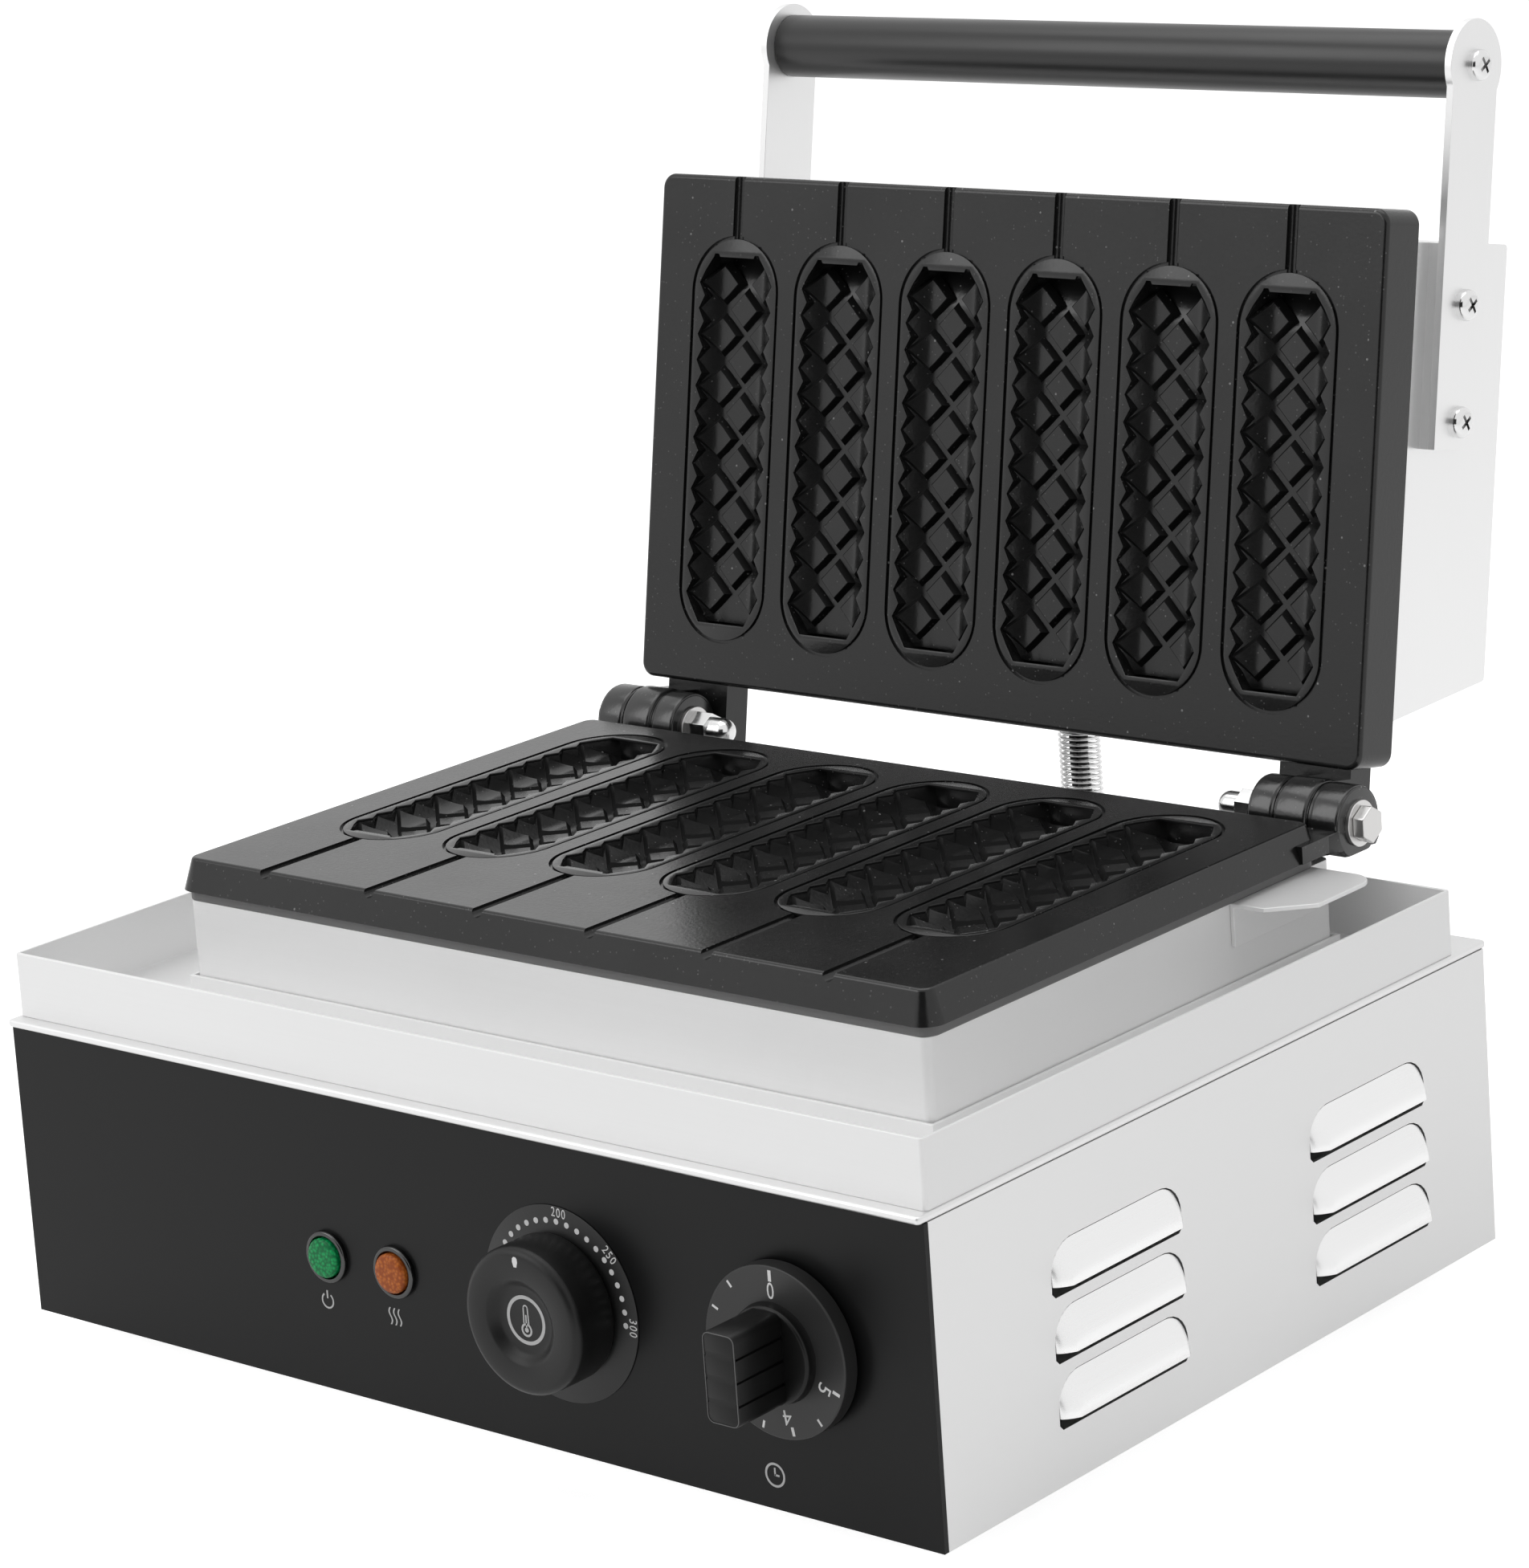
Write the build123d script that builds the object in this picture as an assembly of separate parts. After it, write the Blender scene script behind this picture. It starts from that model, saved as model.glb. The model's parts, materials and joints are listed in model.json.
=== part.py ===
from build123d import *
import math
import os

os.makedirs("parts", exist_ok=True)

# Frame: origin on the foot plane under the middle of the whole cooker, +Z up, the control panel faces -Y,
# +X is the right-hand side.
# The lid stands open, leaning back, as the cooker is left ready to load.

# Clearances and general sheet sizes
fit_gap = 0.3
running_gap = 0.05
cut_over = 2.0
sheet = 1.2
bend_radius = 1.5
edge_break = 0.6

# Base box
base_width = 370.0
origin_setback = 37.68
panel_height = 95.6
panel_thickness = 2.0
foot_height = 8.0
foot_radius = 14.0
foot_inset = 44.0
foot_screw_radius = 2.5
foot_screw_head_radius = 4.6
foot_screw_head_height = 3.0
bead_height = 2.4
bead_overhang = 2.0
bead_width = 5.0

# Louvres in the side panels
louvre_length = 62.0
louvre_height = 13.5
louvre_depth = 4.2
louvre_end_radius = 11.0
louvre_pitch = 19.6
louvre_rows = 3
louvre_first_height = 20.0
hood_flat_share = 0.35
front_louvre_setback = 55.0
rear_louvre_margin = 37.0

# Vent slots in the bottom plate
vent_length = 60.0
vent_width = 5.0
vent_pitch = 14.0
vent_count = 9

# Drip tray
tray_side_inset = 1.0
tray_front_inset = 2.9
tray_rear_inset = 15.5
tray_height = 20.8
tray_upstand = 6.0

# Pedestal that carries the lower plate
pedestal_width = 301.0
pedestal_setback = 48.6
pedestal_rear_margin = 6.6
pedestal_height = 30.8
pedestal_corner = 3.0
ledge_width = 9.0

# Flat rests beside the pedestal
tab_reach = 24.5
tab_length = 44.0
tab_rear_setback = 86.0
tab_thickness = 1.5
tab_flange = 14.0
tab_front_chamfer = 12.0
tab_rear_radius = 8.0

# Lower cooking plate
plate_width = 307.6
plate_length = 198.8
plate_setback = 46.3
plate_rear_margin = 37.9
plate_thickness = 10.3
plate_draft = 3.3
plate_corner = 7.0
plate_edge_round = 1.2
gasket_height = 3.6
gasket_inset = 2.0
well_depth = 10.4
well_gap = 1.5

# Cooking moulds, shared by both plates
mould_count = 6
mould_pitch = 46.0
mould_start = 14.5
mould_end_margin = 20.5
mould_width = 39.0
mould_step = 1.0
rim_band = 3.25
pocket_depth = 13.0
pocket_draft = 1.8
tooth_depth = 2.5
tooth_pitch = 9.0
pocket_end_width = 17.5
pocket_ear = 1.6
post_height = 6.5
post_half_diagonal = 7.6
post_top_half_diagonal = 4.8
side_post_offset = 11.4
side_post_half_diagonal = 5.4
side_post_top_half_diagonal = 3.0
stick_width = 4.2
stick_depth = 2.5

# Hinges
hinge_standoff = 16.9
hinge_height = 5.6
knuckle_radius = 11.5
outer_lug_face = 154.5
outer_lug_width = 11.0
middle_knuckle_width = 12.6
inner_lug_width = 9.4
knuckle_gap = 0.4
hinge_bolt_radius = 3.0
bolt_head_across = 10.4
bolt_head_height = 4.2
washer_radius = 7.4
washer_thickness = 1.5
nut_length = 8.0
nut_dome_length = 8.5
nut_across = 10.4
stop_pad_drop = 11.5
stop_pad_height = 8.5
stop_pad_depth = 8.8

# Lid
lid_open_angle = 100.1
lid_reach = 15.0
face_gap = 0.6
lid_width = 301.0
lid_shortfall = 22.3
lid_thickness = 18.0
lid_edge_round = 1.6
lid_corner = 5.0
hinge_arm_width = 27.0
hinge_arm_drop = 26.5
shell_width = 276.0
shell_depth = 73.0
shell_heel = 8.7
shell_slant = 14.2
shell_end_setback = 10.2

# Handle
bar_width = 26.0
bar_thickness = 2.6
bar_centre_depth = 57.0
bar_overlap = 66.3
bar_head_radius = 15.0
spacer_thickness = 3.3
grip_radius = 11.0
grip_reach = 47.1
rod_radius = 5.0
grip_screw_depth = 16.0
bar_screw_setbacks = (67.6, 29.9)
pan_head_radius = 5.2
pan_head_height = 3.4
pan_screw_radius = 2.5
bar_screw_inner_length = 4.0

# Heating parts, the same in base and lid
heater_radius = 4.0
heater_overrun = 24.0
heater_passes = 4
heater_bend_radius = 20.0
heater_turn_radius = 9.0
heater_tail = 12.0
clamp_thickness = 3.0
clamp_width = 212.0
clamp_end_margin = 29.25
clamp_bolt_radius = 3.0
clamp_bolt_inset_x = 14.0
clamp_bolt_inset_y = 15.0
clamp_bolt_depth = 5.0
insulation_thickness = 6.0
lid_insulation_thickness = 12.0
heat_shield_margin = 8.0

# Thermostat
thermostat_inset = 138.0
thermostat_height = 46.5
dial_ring_radius = 30.0
dial_ring_thickness = 0.5
dial_ring_bore = 9.0
thermostat_knob_radius = 22.4
thermostat_knob_face = 18.0
knob_standoff = 1.2
knob_edge_round = 2.2
knob_dish_radius = 10.5
knob_dish_depth = 1.2
pointer_width = 2.2
pointer_length = 7.0
pointer_depth = 0.4
shaft_radius = 3.0
shaft_in_knob = 11.0
shaft_in_body = 6.0
bush_radius = 5.0
bush_nut_across = 14.0
bush_nut_height = 3.0
thermostat_body_width = 36.0
thermostat_body_height = 32.0
thermostat_body_depth = 34.0
bulb_radius = 3.0
bulb_length = 100.0
capillary_radius = 1.1
capillary_bend = 14.0
capillary_clearance = 12.0

# Timer
timer_inset = 51.0
timer_height = 51.0
skirt_radius = 25.4
skirt_thickness = 5.6
skirt_edge = 1.0
wing_width = 13.4
wing_height = 29.6
wing_face = 30.0
wing_edge_round = 1.2
wing_groove = 1.0
wing_groove_depth = 0.8
wing_groove_count = 3
boss_radius = 14.5
boss_height = 9.0
timer_body_width = 52.0
timer_body_depth = 36.0
bell_radius = 21.0
bell_depth = 11.0
bell_wall = 1.4

# Lamps
lamp_insets = (234.0, 205.5)
lamp_heights = (43.3, 43.7)
lens_radius = 6.2
lens_height = 3.4
lens_round = 1.0
bezel_radius = 8.2
bezel_height = 1.8
lamp_holder_radius = 7.0
lamp_holder_length = 24.0
lamp_neck_radius = 5.0

# Wiring pieces
terminal_width = 60.0
terminal_length = 22.0
terminal_height = 18.0
terminal_ways = 4
terminal_slot = 7.0
terminal_inset = 125.0
terminal_setback = 81.5
gland_inset = 65.0
gland_height = 32.0
gland_radius = 11.0
gland_bore = 4.5
gland_length = 16.0
gland_thread_radius = 8.0
gland_flange = 3.0
gland_nut_radius = 12.0
gland_nut_height = 4.0
hex_sides = 6

# Spring conduit from base to lid
conduit_x = 16.0
conduit_standoff = 20.0
conduit_radius = 7.25
conduit_wire_radius = 0.55
conduit_pitch = 1.85
conduit_seat_height = 98.0
samples_per_half_turn = 24
nearest_turn_share = 0.8
farthest_turn_share = 1.2
elbow_radius = 9.4
elbow_bend = 14.0
elbow_height = 76.0
elbow_bore = 4.3
cup_depth = 5.0
cup_gap = 0.4
ferrule_wall = 2.0
ferrule_base = 2.0
wire_radius = 1.6
wire_ring = 2.0
wire_count = 3

# Lengths that follow the lower plate
base_depth = plate_setback + plate_length + plate_rear_margin
tray_length = base_depth - tray_rear_inset - tray_front_inset
lid_length = plate_length - lid_shortfall
mould_length = lid_length - mould_start - mould_end_margin
shell_free_end = lid_length - shell_end_setback
bar_lower_end = shell_free_end - bar_overlap
grip_centre = lid_length + grip_reach
bar_screw_places = [lid_length - setback for setback in bar_screw_setbacks]
clamp_length = lid_length - 2 * clamp_end_margin
clamp_bolt_spacing_x = clamp_width - 2 * clamp_bolt_inset_x
clamp_bolt_spacing_y = clamp_length - 2 * clamp_bolt_inset_y
heater_run = clamp_width / 2 + heater_overrun
heater_pass_gap = clamp_bolt_spacing_y / 2
tooth_count = math.floor((mould_length - 2 * rim_band - pocket_end_width) / tooth_pitch)
post_pitch = 2 * tooth_pitch
post_count = tooth_count // 2

# Heights and places worked out from the sizes above
front_y = -base_depth / 2 - origin_setback
rear_y = front_y + base_depth
side_x = base_width / 2
base_bottom_z = foot_height
cover_under_z = base_bottom_z + panel_height
cover_top_z = cover_under_z + bead_height
panel_front_y = front_y
panel_back_y = front_y + panel_thickness
tray_front_y = front_y + tray_front_inset
plate_front_y = front_y + plate_setback
plate_back_y = plate_front_y + plate_length
pedestal_front_y = front_y + pedestal_setback
pedestal_back_y = plate_back_y + pedestal_rear_margin
pedestal_top_z = cover_top_z + pedestal_height
plate_bottom_z = pedestal_top_z + gasket_height
plate_top_z = plate_bottom_z + plate_thickness
well_bottom_z = plate_bottom_z - well_depth
hinge_y = plate_back_y + hinge_standoff
hinge_z = plate_bottom_z + hinge_height
middle_outer_x = outer_lug_face - outer_lug_width - knuckle_gap
middle_inner_x = middle_outer_x - middle_knuckle_width
inner_lug_outer_x = middle_inner_x - knuckle_gap
inner_lug_inner_x = inner_lug_outer_x - inner_lug_width
stick_end = mould_start + mould_length
control_front = panel_back_y + bush_nut_height
thermostat_x = side_x - thermostat_inset
thermostat_z = base_bottom_z + thermostat_height
thermostat_knob_back = panel_front_y - dial_ring_thickness - knob_standoff
timer_x = side_x - timer_inset
timer_z = base_bottom_z + timer_height
timer_knob_back = panel_front_y - knob_standoff
power_lamp_x = side_x - lamp_insets[0]
power_lamp_z = base_bottom_z + lamp_heights[0]
heat_lamp_x = side_x - lamp_insets[1]
heat_lamp_z = base_bottom_z + lamp_heights[1]
lamp_places = [(power_lamp_x, power_lamp_z), (heat_lamp_x, heat_lamp_z)]
capillary_drop_x = clamp_width / 2 + capillary_clearance
terminal_x = terminal_inset - side_x
terminal_y = rear_y - terminal_setback
gland_x = gland_inset - side_x
gland_z = base_bottom_z + gland_height
conduit_y = rear_y + conduit_standoff

# The lid's own frame: x across, y from the hinge edge to the free edge, z out of the cooking face
face_above_axis = plate_top_z + face_gap - hinge_z
open_lean = math.radians(lid_open_angle - 90)
closed_edge_y = hinge_y - lid_reach
lid_edge_y = hinge_y + lid_reach * math.sin(open_lean) + face_above_axis * math.cos(open_lean)
lid_edge_z = hinge_z + lid_reach * math.cos(open_lean) - face_above_axis * math.sin(open_lean)
lid_frame = Plane(
    origin=(0, lid_edge_y, lid_edge_z),
    x_dir=(1, 0, 0),
    z_dir=(0, -math.cos(open_lean), math.sin(open_lean)),
)
# The lower plate's moulds are laid out in the same way, lying flat
lower_frame = Plane(origin=(0, closed_edge_y, plate_top_z), x_dir=(-1, 0, 0), z_dir=(0, 0, 1))

# The conduit stands upright, so its top is where it meets the lid shell's slanted end
heel_slope = shell_slant / shell_depth
heel_at_face = shell_heel - heel_slope * lid_thickness
heel_run = heel_slope * math.sin(open_lean) + math.cos(open_lean)
heel_meeting_depth = (conduit_y - lid_edge_y - heel_at_face * math.sin(open_lean)) / heel_run
heel_meeting_place = heel_at_face + heel_slope * heel_meeting_depth
ferrule_top_z = (lid_edge_z + heel_meeting_place * math.cos(open_lean)
                 - heel_meeting_depth * math.sin(open_lean))
ferrule_drop = cup_depth + ferrule_base
spring_bottom_z = conduit_seat_height + conduit_wire_radius + running_gap
spring_top_z = ferrule_top_z - ferrule_base - conduit_wire_radius - running_gap
cup_radius = conduit_radius + cup_gap


def slab(x0, x1, y0, y1, z0, z1):
    """Block between two corners."""
    return Pos((x0 + x1) / 2, (y0 + y1) / 2, (z0 + z1) / 2) * Box(x1 - x0, y1 - y0, z1 - z0)


def rounded_slab(x0, x1, y0, y1, z0, z1, radius):
    """Block between two corners with its upright edges rounded."""
    outline = RectangleRounded(x1 - x0, y1 - y0, radius)
    return Pos((x0 + x1) / 2, (y0 + y1) / 2, z0) * extrude(outline, z1 - z0)


def rod_x(x0, x1, y, z, radius):
    """Cylinder along X between two places."""
    return Pos((x0 + x1) / 2, y, z) * Rot(0, 90, 0) * Cylinder(radius, abs(x1 - x0))


def rod_y(x, y0, y1, z, radius):
    """Cylinder along Y between two places."""
    return Pos(x, (y0 + y1) / 2, z) * Rot(90, 0, 0) * Cylinder(radius, abs(y1 - y0))


def rod_z(x, y, z0, z1, radius):
    """Cylinder along Z between two places."""
    return Pos(x, y, (z0 + z1) / 2) * Cylinder(radius, abs(z1 - z0))


def hexagon(across, height):
    """Hexagonal prism standing on its base at the origin."""
    corner_radius = across / 2 / math.cos(math.pi / hex_sides)
    return extrude(RegularPolygon(corner_radius, hex_sides), height)


def mirrored(shape):
    """The same piece on the other side of the cooker."""
    return mirror(shape, about=Plane.YZ)


def both_sides(shape):
    """A left and a right copy, kept as separate solids."""
    return Compound(children=[shape, mirrored(shape)])


def group(shapes):
    """Separate solids that share one node."""
    return Compound(children=[solid for shape in shapes for solid in shape.solids()])


def save(name, shape):
    """Write one node."""
    export_step(shape, "parts/" + name + ".step")
    print(name, len(shape.solids()), "solids", round(shape.volume), "mm3")


# Base box

def louvre_outline(inset):
    """Side view of one louvre: flat below, rounded above."""
    half = louvre_length / 2 - inset
    high = louvre_height - inset
    bend = louvre_end_radius - inset
    with BuildSketch(Plane.YZ) as outline:
        with BuildLine():
            Line((-half, 0), (half, 0))
            Line((half, 0), (half, high - bend))
            RadiusArc((half, high - bend), (half - bend, high), -bend)
            Line((half - bend, high), (bend - half, high))
            RadiusArc((bend - half, high), (-half, high - bend), -bend)
            Line((-half, high - bend), (-half, 0))
        make_face()
    return outline.sketch


def louvre_solid(inset, over):
    """Pressed hood, open below, standing out of the plane x = 0 towards +X."""
    wedge_top = louvre_height - inset
    reach = louvre_depth - inset
    wedge = Polyline((-over, 0), (reach, 0), (reach, wedge_top * hood_flat_share), (0, wedge_top),
                     (-over, wedge_top), close=True)
    section = extrude(Plane.XZ * make_face(wedge), louvre_length / 2, both=True)
    outline = extrude(louvre_outline(inset), louvre_depth + over, both=True)
    return section & outline


def side_panel():
    """Right-hand stainless side with its pressed louvres."""
    wall = slab(side_x - sheet, side_x, panel_back_y, rear_y, base_bottom_z, cover_under_z)
    wall = fillet(wall.edges().filter_by(Axis.Z).group_by(Axis.Y)[-1].sort_by(Axis.X)[-1], edge_break)
    hood = louvre_solid(0, sheet) - louvre_solid(sheet, sheet + cut_over)
    hood = hood & slab(-sheet, louvre_depth, -louvre_length, louvre_length, 0, louvre_height)
    opening = louvre_solid(sheet, sheet + cut_over)
    front_centre = front_y + front_louvre_setback + louvre_length / 2
    rear_centre = rear_y - rear_louvre_margin - louvre_length / 2
    for y in (front_centre, rear_centre):
        for row in range(louvre_rows):
            z = base_bottom_z + louvre_first_height + row * louvre_pitch
            wall = wall - Pos(side_x, y, z) * opening
            wall = wall + Pos(side_x, y, z) * hood
    return wall


def rear_panel():
    """Stainless back with holes for the conduit and the cord gland."""
    wall = slab(sheet - side_x, side_x - sheet, rear_y - sheet, rear_y, base_bottom_z, cover_under_z)
    near = rear_y - sheet - cut_over
    far = rear_y + cut_over
    wall -= rod_y(conduit_x, near, far, elbow_height, elbow_bore + fit_gap)
    return wall - rod_y(gland_x, near, far, gland_z, gland_thread_radius + fit_gap)


def foot_places():
    """Centres of the four feet."""
    x = side_x - foot_inset
    near = front_y + foot_inset
    far = rear_y - foot_inset
    return [(-x, near), (x, near), (-x, far), (x, far)]


def bottom_plate():
    """Vented floor of the base, between the side panels."""
    z1 = base_bottom_z + sheet
    plate = slab(sheet - side_x, side_x - sheet, panel_back_y, rear_y - sheet, base_bottom_z, z1)
    slot = extrude(SlotOverall(vent_length, vent_width, rotation=90), sheet + 2 * cut_over)
    for column in range(vent_count):
        x = (column - (vent_count - 1) / 2) * vent_pitch
        plate -= Pos(x, (front_y + rear_y) / 2, base_bottom_z - cut_over) * slot
    for x, y in foot_places():
        plate -= rod_z(x, y, base_bottom_z - cut_over, z1 + cut_over, foot_screw_radius)
    return plate


def feet():
    """Rubber feet with a hollow for the screw head."""
    pieces = []
    head_room = foot_screw_head_radius + fit_gap
    for x, y in foot_places():
        foot = rod_z(x, y, 0, foot_height, foot_radius)
        foot = chamfer(foot.edges().group_by(Axis.Z)[0], edge_break)
        foot -= rod_z(x, y, -cut_over, foot_screw_head_height + fit_gap, head_room)
        foot -= rod_z(x, y, -cut_over, foot_height + cut_over, foot_screw_radius)
        pieces.append(foot)
    return group(pieces)


def foot_screws():
    """Screws that hold the feet to the bottom plate."""
    pieces = []
    for x, y in foot_places():
        head = rod_z(x, y, fit_gap, foot_screw_head_height + fit_gap, foot_screw_head_radius)
        shank = rod_z(x, y, foot_screw_head_height, base_bottom_z + sheet + cut_over, foot_screw_radius)
        pieces.append(head + shank)
    return group(pieces)


def front_panel():
    """Dark control panel across the whole front."""
    panel = slab(-side_x, side_x, panel_front_y, panel_back_y, base_bottom_z, cover_under_z)
    reach = panel_thickness + 2 * cut_over
    panel -= Pos(thermostat_x, front_y, thermostat_z) * Rot(90, 0, 0) * Cylinder(bush_radius + fit_gap, reach)
    panel -= Pos(timer_x, front_y, timer_z) * Rot(90, 0, 0) * Cylinder(bush_radius + fit_gap, reach)
    for x, z in lamp_places:
        panel -= Pos(x, front_y, z) * Rot(90, 0, 0) * Cylinder(lamp_neck_radius + fit_gap, reach)
    return panel


def top_cover():
    """Stainless cover with a rolled bead round its edge and an opening under the pedestal."""
    bead_front = front_y - bead_overhang
    bead_back = rear_y + bead_overhang
    cover = slab(-side_x, side_x, bead_front, bead_back, cover_under_z, cover_top_z)
    upright = cover.edges().filter_by(Axis.Z)
    cover = fillet(upright, bend_radius)
    rim = cover.edges().filter_by(Plane.XY)
    cover = fillet(rim, bead_height / 2 - edge_break / 2)
    cover -= slab(bead_width - side_x, side_x - bead_width, bead_front + bead_width, bead_back - bead_width,
                  cover_under_z - cut_over, cover_top_z - sheet)
    inset = ledge_width + sheet
    half = pedestal_width / 2 - inset
    cover -= slab(-half, half, pedestal_front_y + inset, pedestal_back_y - inset,
                  cover_under_z - cut_over, cover_top_z + cut_over)
    return cover


def drip_tray():
    """Channel round the pedestal that catches batter, with an upstand at its inner edge."""
    half = side_x - tray_side_inset
    back = tray_front_y + tray_length
    top = cover_top_z + tray_height
    tray = slab(-half, half, tray_front_y, back, cover_top_z, top)
    tray = fillet(tray.edges().filter_by(Axis.Z), bend_radius)
    tray -= slab(sheet - half, half - sheet, tray_front_y + sheet, back - sheet,
                 cover_top_z + sheet, top + cut_over)
    gap = sheet + fit_gap
    ring_half = pedestal_width / 2 + gap
    ring = slab(-ring_half, ring_half, pedestal_front_y - gap, pedestal_back_y + gap,
                cover_top_z + sheet, cover_top_z + tray_upstand)
    hole_half = pedestal_width / 2 + fit_gap
    hole = slab(-hole_half, hole_half, pedestal_front_y - fit_gap, pedestal_back_y + fit_gap,
                cover_top_z - cut_over, cover_top_z + tray_upstand + cut_over)
    return tray + ring - hole


def pedestal():
    """Folded stainless box that carries the lower plate on an inward ledge."""
    half = pedestal_width / 2
    box = rounded_slab(-half, half, pedestal_front_y, pedestal_back_y,
                       cover_top_z, pedestal_top_z, pedestal_corner)
    box -= slab(sheet - half, half - sheet, pedestal_front_y + sheet, pedestal_back_y - sheet,
                cover_top_z - cut_over, pedestal_top_z - sheet)
    inset = ledge_width
    box -= slab(inset - half, half - inset, pedestal_front_y + inset, pedestal_back_y - inset,
                cover_top_z, pedestal_top_z + cut_over)
    return box


def side_tabs():
    """Flat rests that stick out beside the pedestal, each with a flange down its wall."""
    x0 = pedestal_width / 2
    x1 = x0 + tab_reach
    y0 = rear_y - tab_rear_setback
    y1 = y0 + tab_length
    plate = slab(x0, x1, y0, y1, pedestal_top_z - tab_thickness, pedestal_top_z)
    outer_corners = plate.edges().filter_by(Axis.Z).group_by(Axis.X)[-1].sort_by(Axis.Y)
    plate = fillet(outer_corners[-1], tab_rear_radius)
    outer_corners = plate.edges().filter_by(Axis.Z).group_by(Axis.Y)[0].sort_by(Axis.X)
    plate = chamfer(outer_corners[-1], tab_front_chamfer)
    flange = slab(x0, x0 + tab_thickness, y0, y1, pedestal_top_z - tab_flange, pedestal_top_z)
    return both_sides(plate + flange)


# Cooking plates

def pocket_face(inset, depth):
    """Outline of one pocket at a depth: straight ends, slanted shoulders and a toothed edge on each side."""
    start = mould_start + rim_band + inset
    end = stick_end - rim_band - inset
    peak = mould_width / 2 - rim_band - inset
    valley = peak - tooth_depth
    end_half = pocket_end_width / 2 - inset
    middle = (start + end) / 2
    first_tooth = middle - tooth_count * tooth_pitch / 2
    side = [(end_half, start), (end_half + pocket_ear, start), (valley, first_tooth)]
    for tooth in range(tooth_count):
        foot_place = first_tooth + tooth * tooth_pitch
        side.append((peak, foot_place + tooth_pitch / 2))
        side.append((valley, foot_place + tooth_pitch))
    side.append((end_half + pocket_ear, end))
    side.append((end_half, end))
    other = [(-x, y) for x, y in reversed(side)]
    outline = Polyline(*[(x, y, -depth) for x, y in side + other], close=True)
    return make_face(outline)


def post(x, y, half_diagonal, top_half_diagonal):
    """Flat-topped diamond that stands on the pocket floor."""
    floor = -pocket_depth - cut_over
    grow = (half_diagonal - top_half_diagonal) / post_height * cut_over
    low = Plane((x, y, floor)) * Rectangle(1, 1, rotation=45).scale((half_diagonal + grow) * math.sqrt(2))
    high = Plane((x, y, post_height - pocket_depth)) * Rectangle(1, 1, rotation=45).scale(
        top_half_diagonal * math.sqrt(2))
    return loft([low.face(), high.face()], ruled=True)


def mould_tool():
    """Everything that one mould removes from a plate, in the plate's own frame."""
    pocket = loft([pocket_face(0, 0), pocket_face(pocket_draft, pocket_depth)], ruled=True)
    centre = mould_start + mould_length / 2
    posts = []
    for k in range(post_count):
        y = centre + (k - (post_count - 1) / 2) * post_pitch
        posts.append(post(0, y, post_half_diagonal, post_top_half_diagonal))
    for k in range(post_count + 1):
        y = centre + (k - post_count / 2) * post_pitch
        for x in (-side_post_offset, side_post_offset):
            posts.append(post(x, y, side_post_half_diagonal, side_post_top_half_diagonal))
    pocket = pocket - posts
    step = Pos(0, centre, -mould_step) * extrude(SlotOverall(mould_length, mould_width, rotation=90),
                                                 mould_step + cut_over)
    groove_length = lid_length + plate_length
    groove = Rot(90, 0, 0) * Cylinder(stick_width / 2, groove_length)
    groove = Pos(0, stick_end + groove_length / 2 - rim_band, 0) * groove
    sink = stick_depth - stick_width / 2
    trench_start = stick_end - rim_band
    half = stick_width / 2
    trench = slab(-half, half, trench_start, trench_start + groove_length, -sink, cut_over)
    return pocket + step + Pos(0, 0, -sink) * groove + trench


def mould_tools():
    """The row of moulds across a plate."""
    tool = mould_tool()
    return [Pos((k - (mould_count - 1) / 2) * mould_pitch, 0, 0) * tool for k in range(mould_count)]


def clamp_bolt_places():
    """Where the heater clamp's bolts go into a plate."""
    x = clamp_bolt_spacing_x / 2
    y = clamp_bolt_spacing_y / 2
    return [(-x, -y), (x, -y), (-x, y), (x, y)]


def stop_pad():
    """Pad under the inner lug that the hinge arm's foot meets when the lid is fully open."""
    arm_front = knuckle_radius + face_gap - face_above_axis
    low = -lid_reach - stop_pad_drop
    pad = slab(inner_lug_inner_x, inner_lug_outer_x, low, low + stop_pad_height,
               fit_gap - arm_front, fit_gap - arm_front + stop_pad_depth)
    return lid_frame.location * pad


def lower_plate():
    """Cast plate with six moulds, a well that drops into the pedestal and two hinge lugs a side."""
    half = plate_width / 2
    centre_y = (plate_front_y + plate_back_y) / 2
    outline = RectangleRounded(plate_width, plate_length, plate_corner)
    taper = math.degrees(math.atan2(plate_draft, plate_thickness))
    plate = Pos(0, centre_y, plate_bottom_z) * extrude(outline, plate_thickness, taper=taper)
    plate = fillet(plate.edges().group_by(Axis.Z)[-1], plate_edge_round)
    inset = ledge_width + well_gap
    well_half = pedestal_width / 2 - inset
    plate += slab(-well_half, well_half, pedestal_front_y + inset, pedestal_back_y - inset,
                  well_bottom_z, plate_bottom_z + edge_break)
    for outer, width in ((outer_lug_face, outer_lug_width), (inner_lug_outer_x, inner_lug_width)):
        lug = rod_x(outer - width, outer, hinge_y, hinge_z, knuckle_radius)
        lug += slab(outer - width, outer, plate_back_y - plate_corner * 2, hinge_y, plate_bottom_z, hinge_z)
        lug &= slab(outer - width, outer, front_y, rear_y, plate_bottom_z, hinge_z + knuckle_radius)
        plate = plate + lug + mirrored(lug)
    pad = stop_pad()
    plate = plate + pad + mirrored(pad)
    bore_length = 2 * outer_lug_face + cut_over
    plate -= Pos(0, hinge_y, hinge_z) * Rot(0, 90, 0) * Cylinder(hinge_bolt_radius + running_gap, bore_length)
    plate -= [lower_frame.location * tool for tool in mould_tools()]
    hole_top = well_bottom_z + clamp_bolt_depth + fit_gap
    for x, y in clamp_bolt_places():
        plate -= rod_z(x, centre_y + y, well_bottom_z - cut_over, hole_top, clamp_bolt_radius)
    return plate


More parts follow.
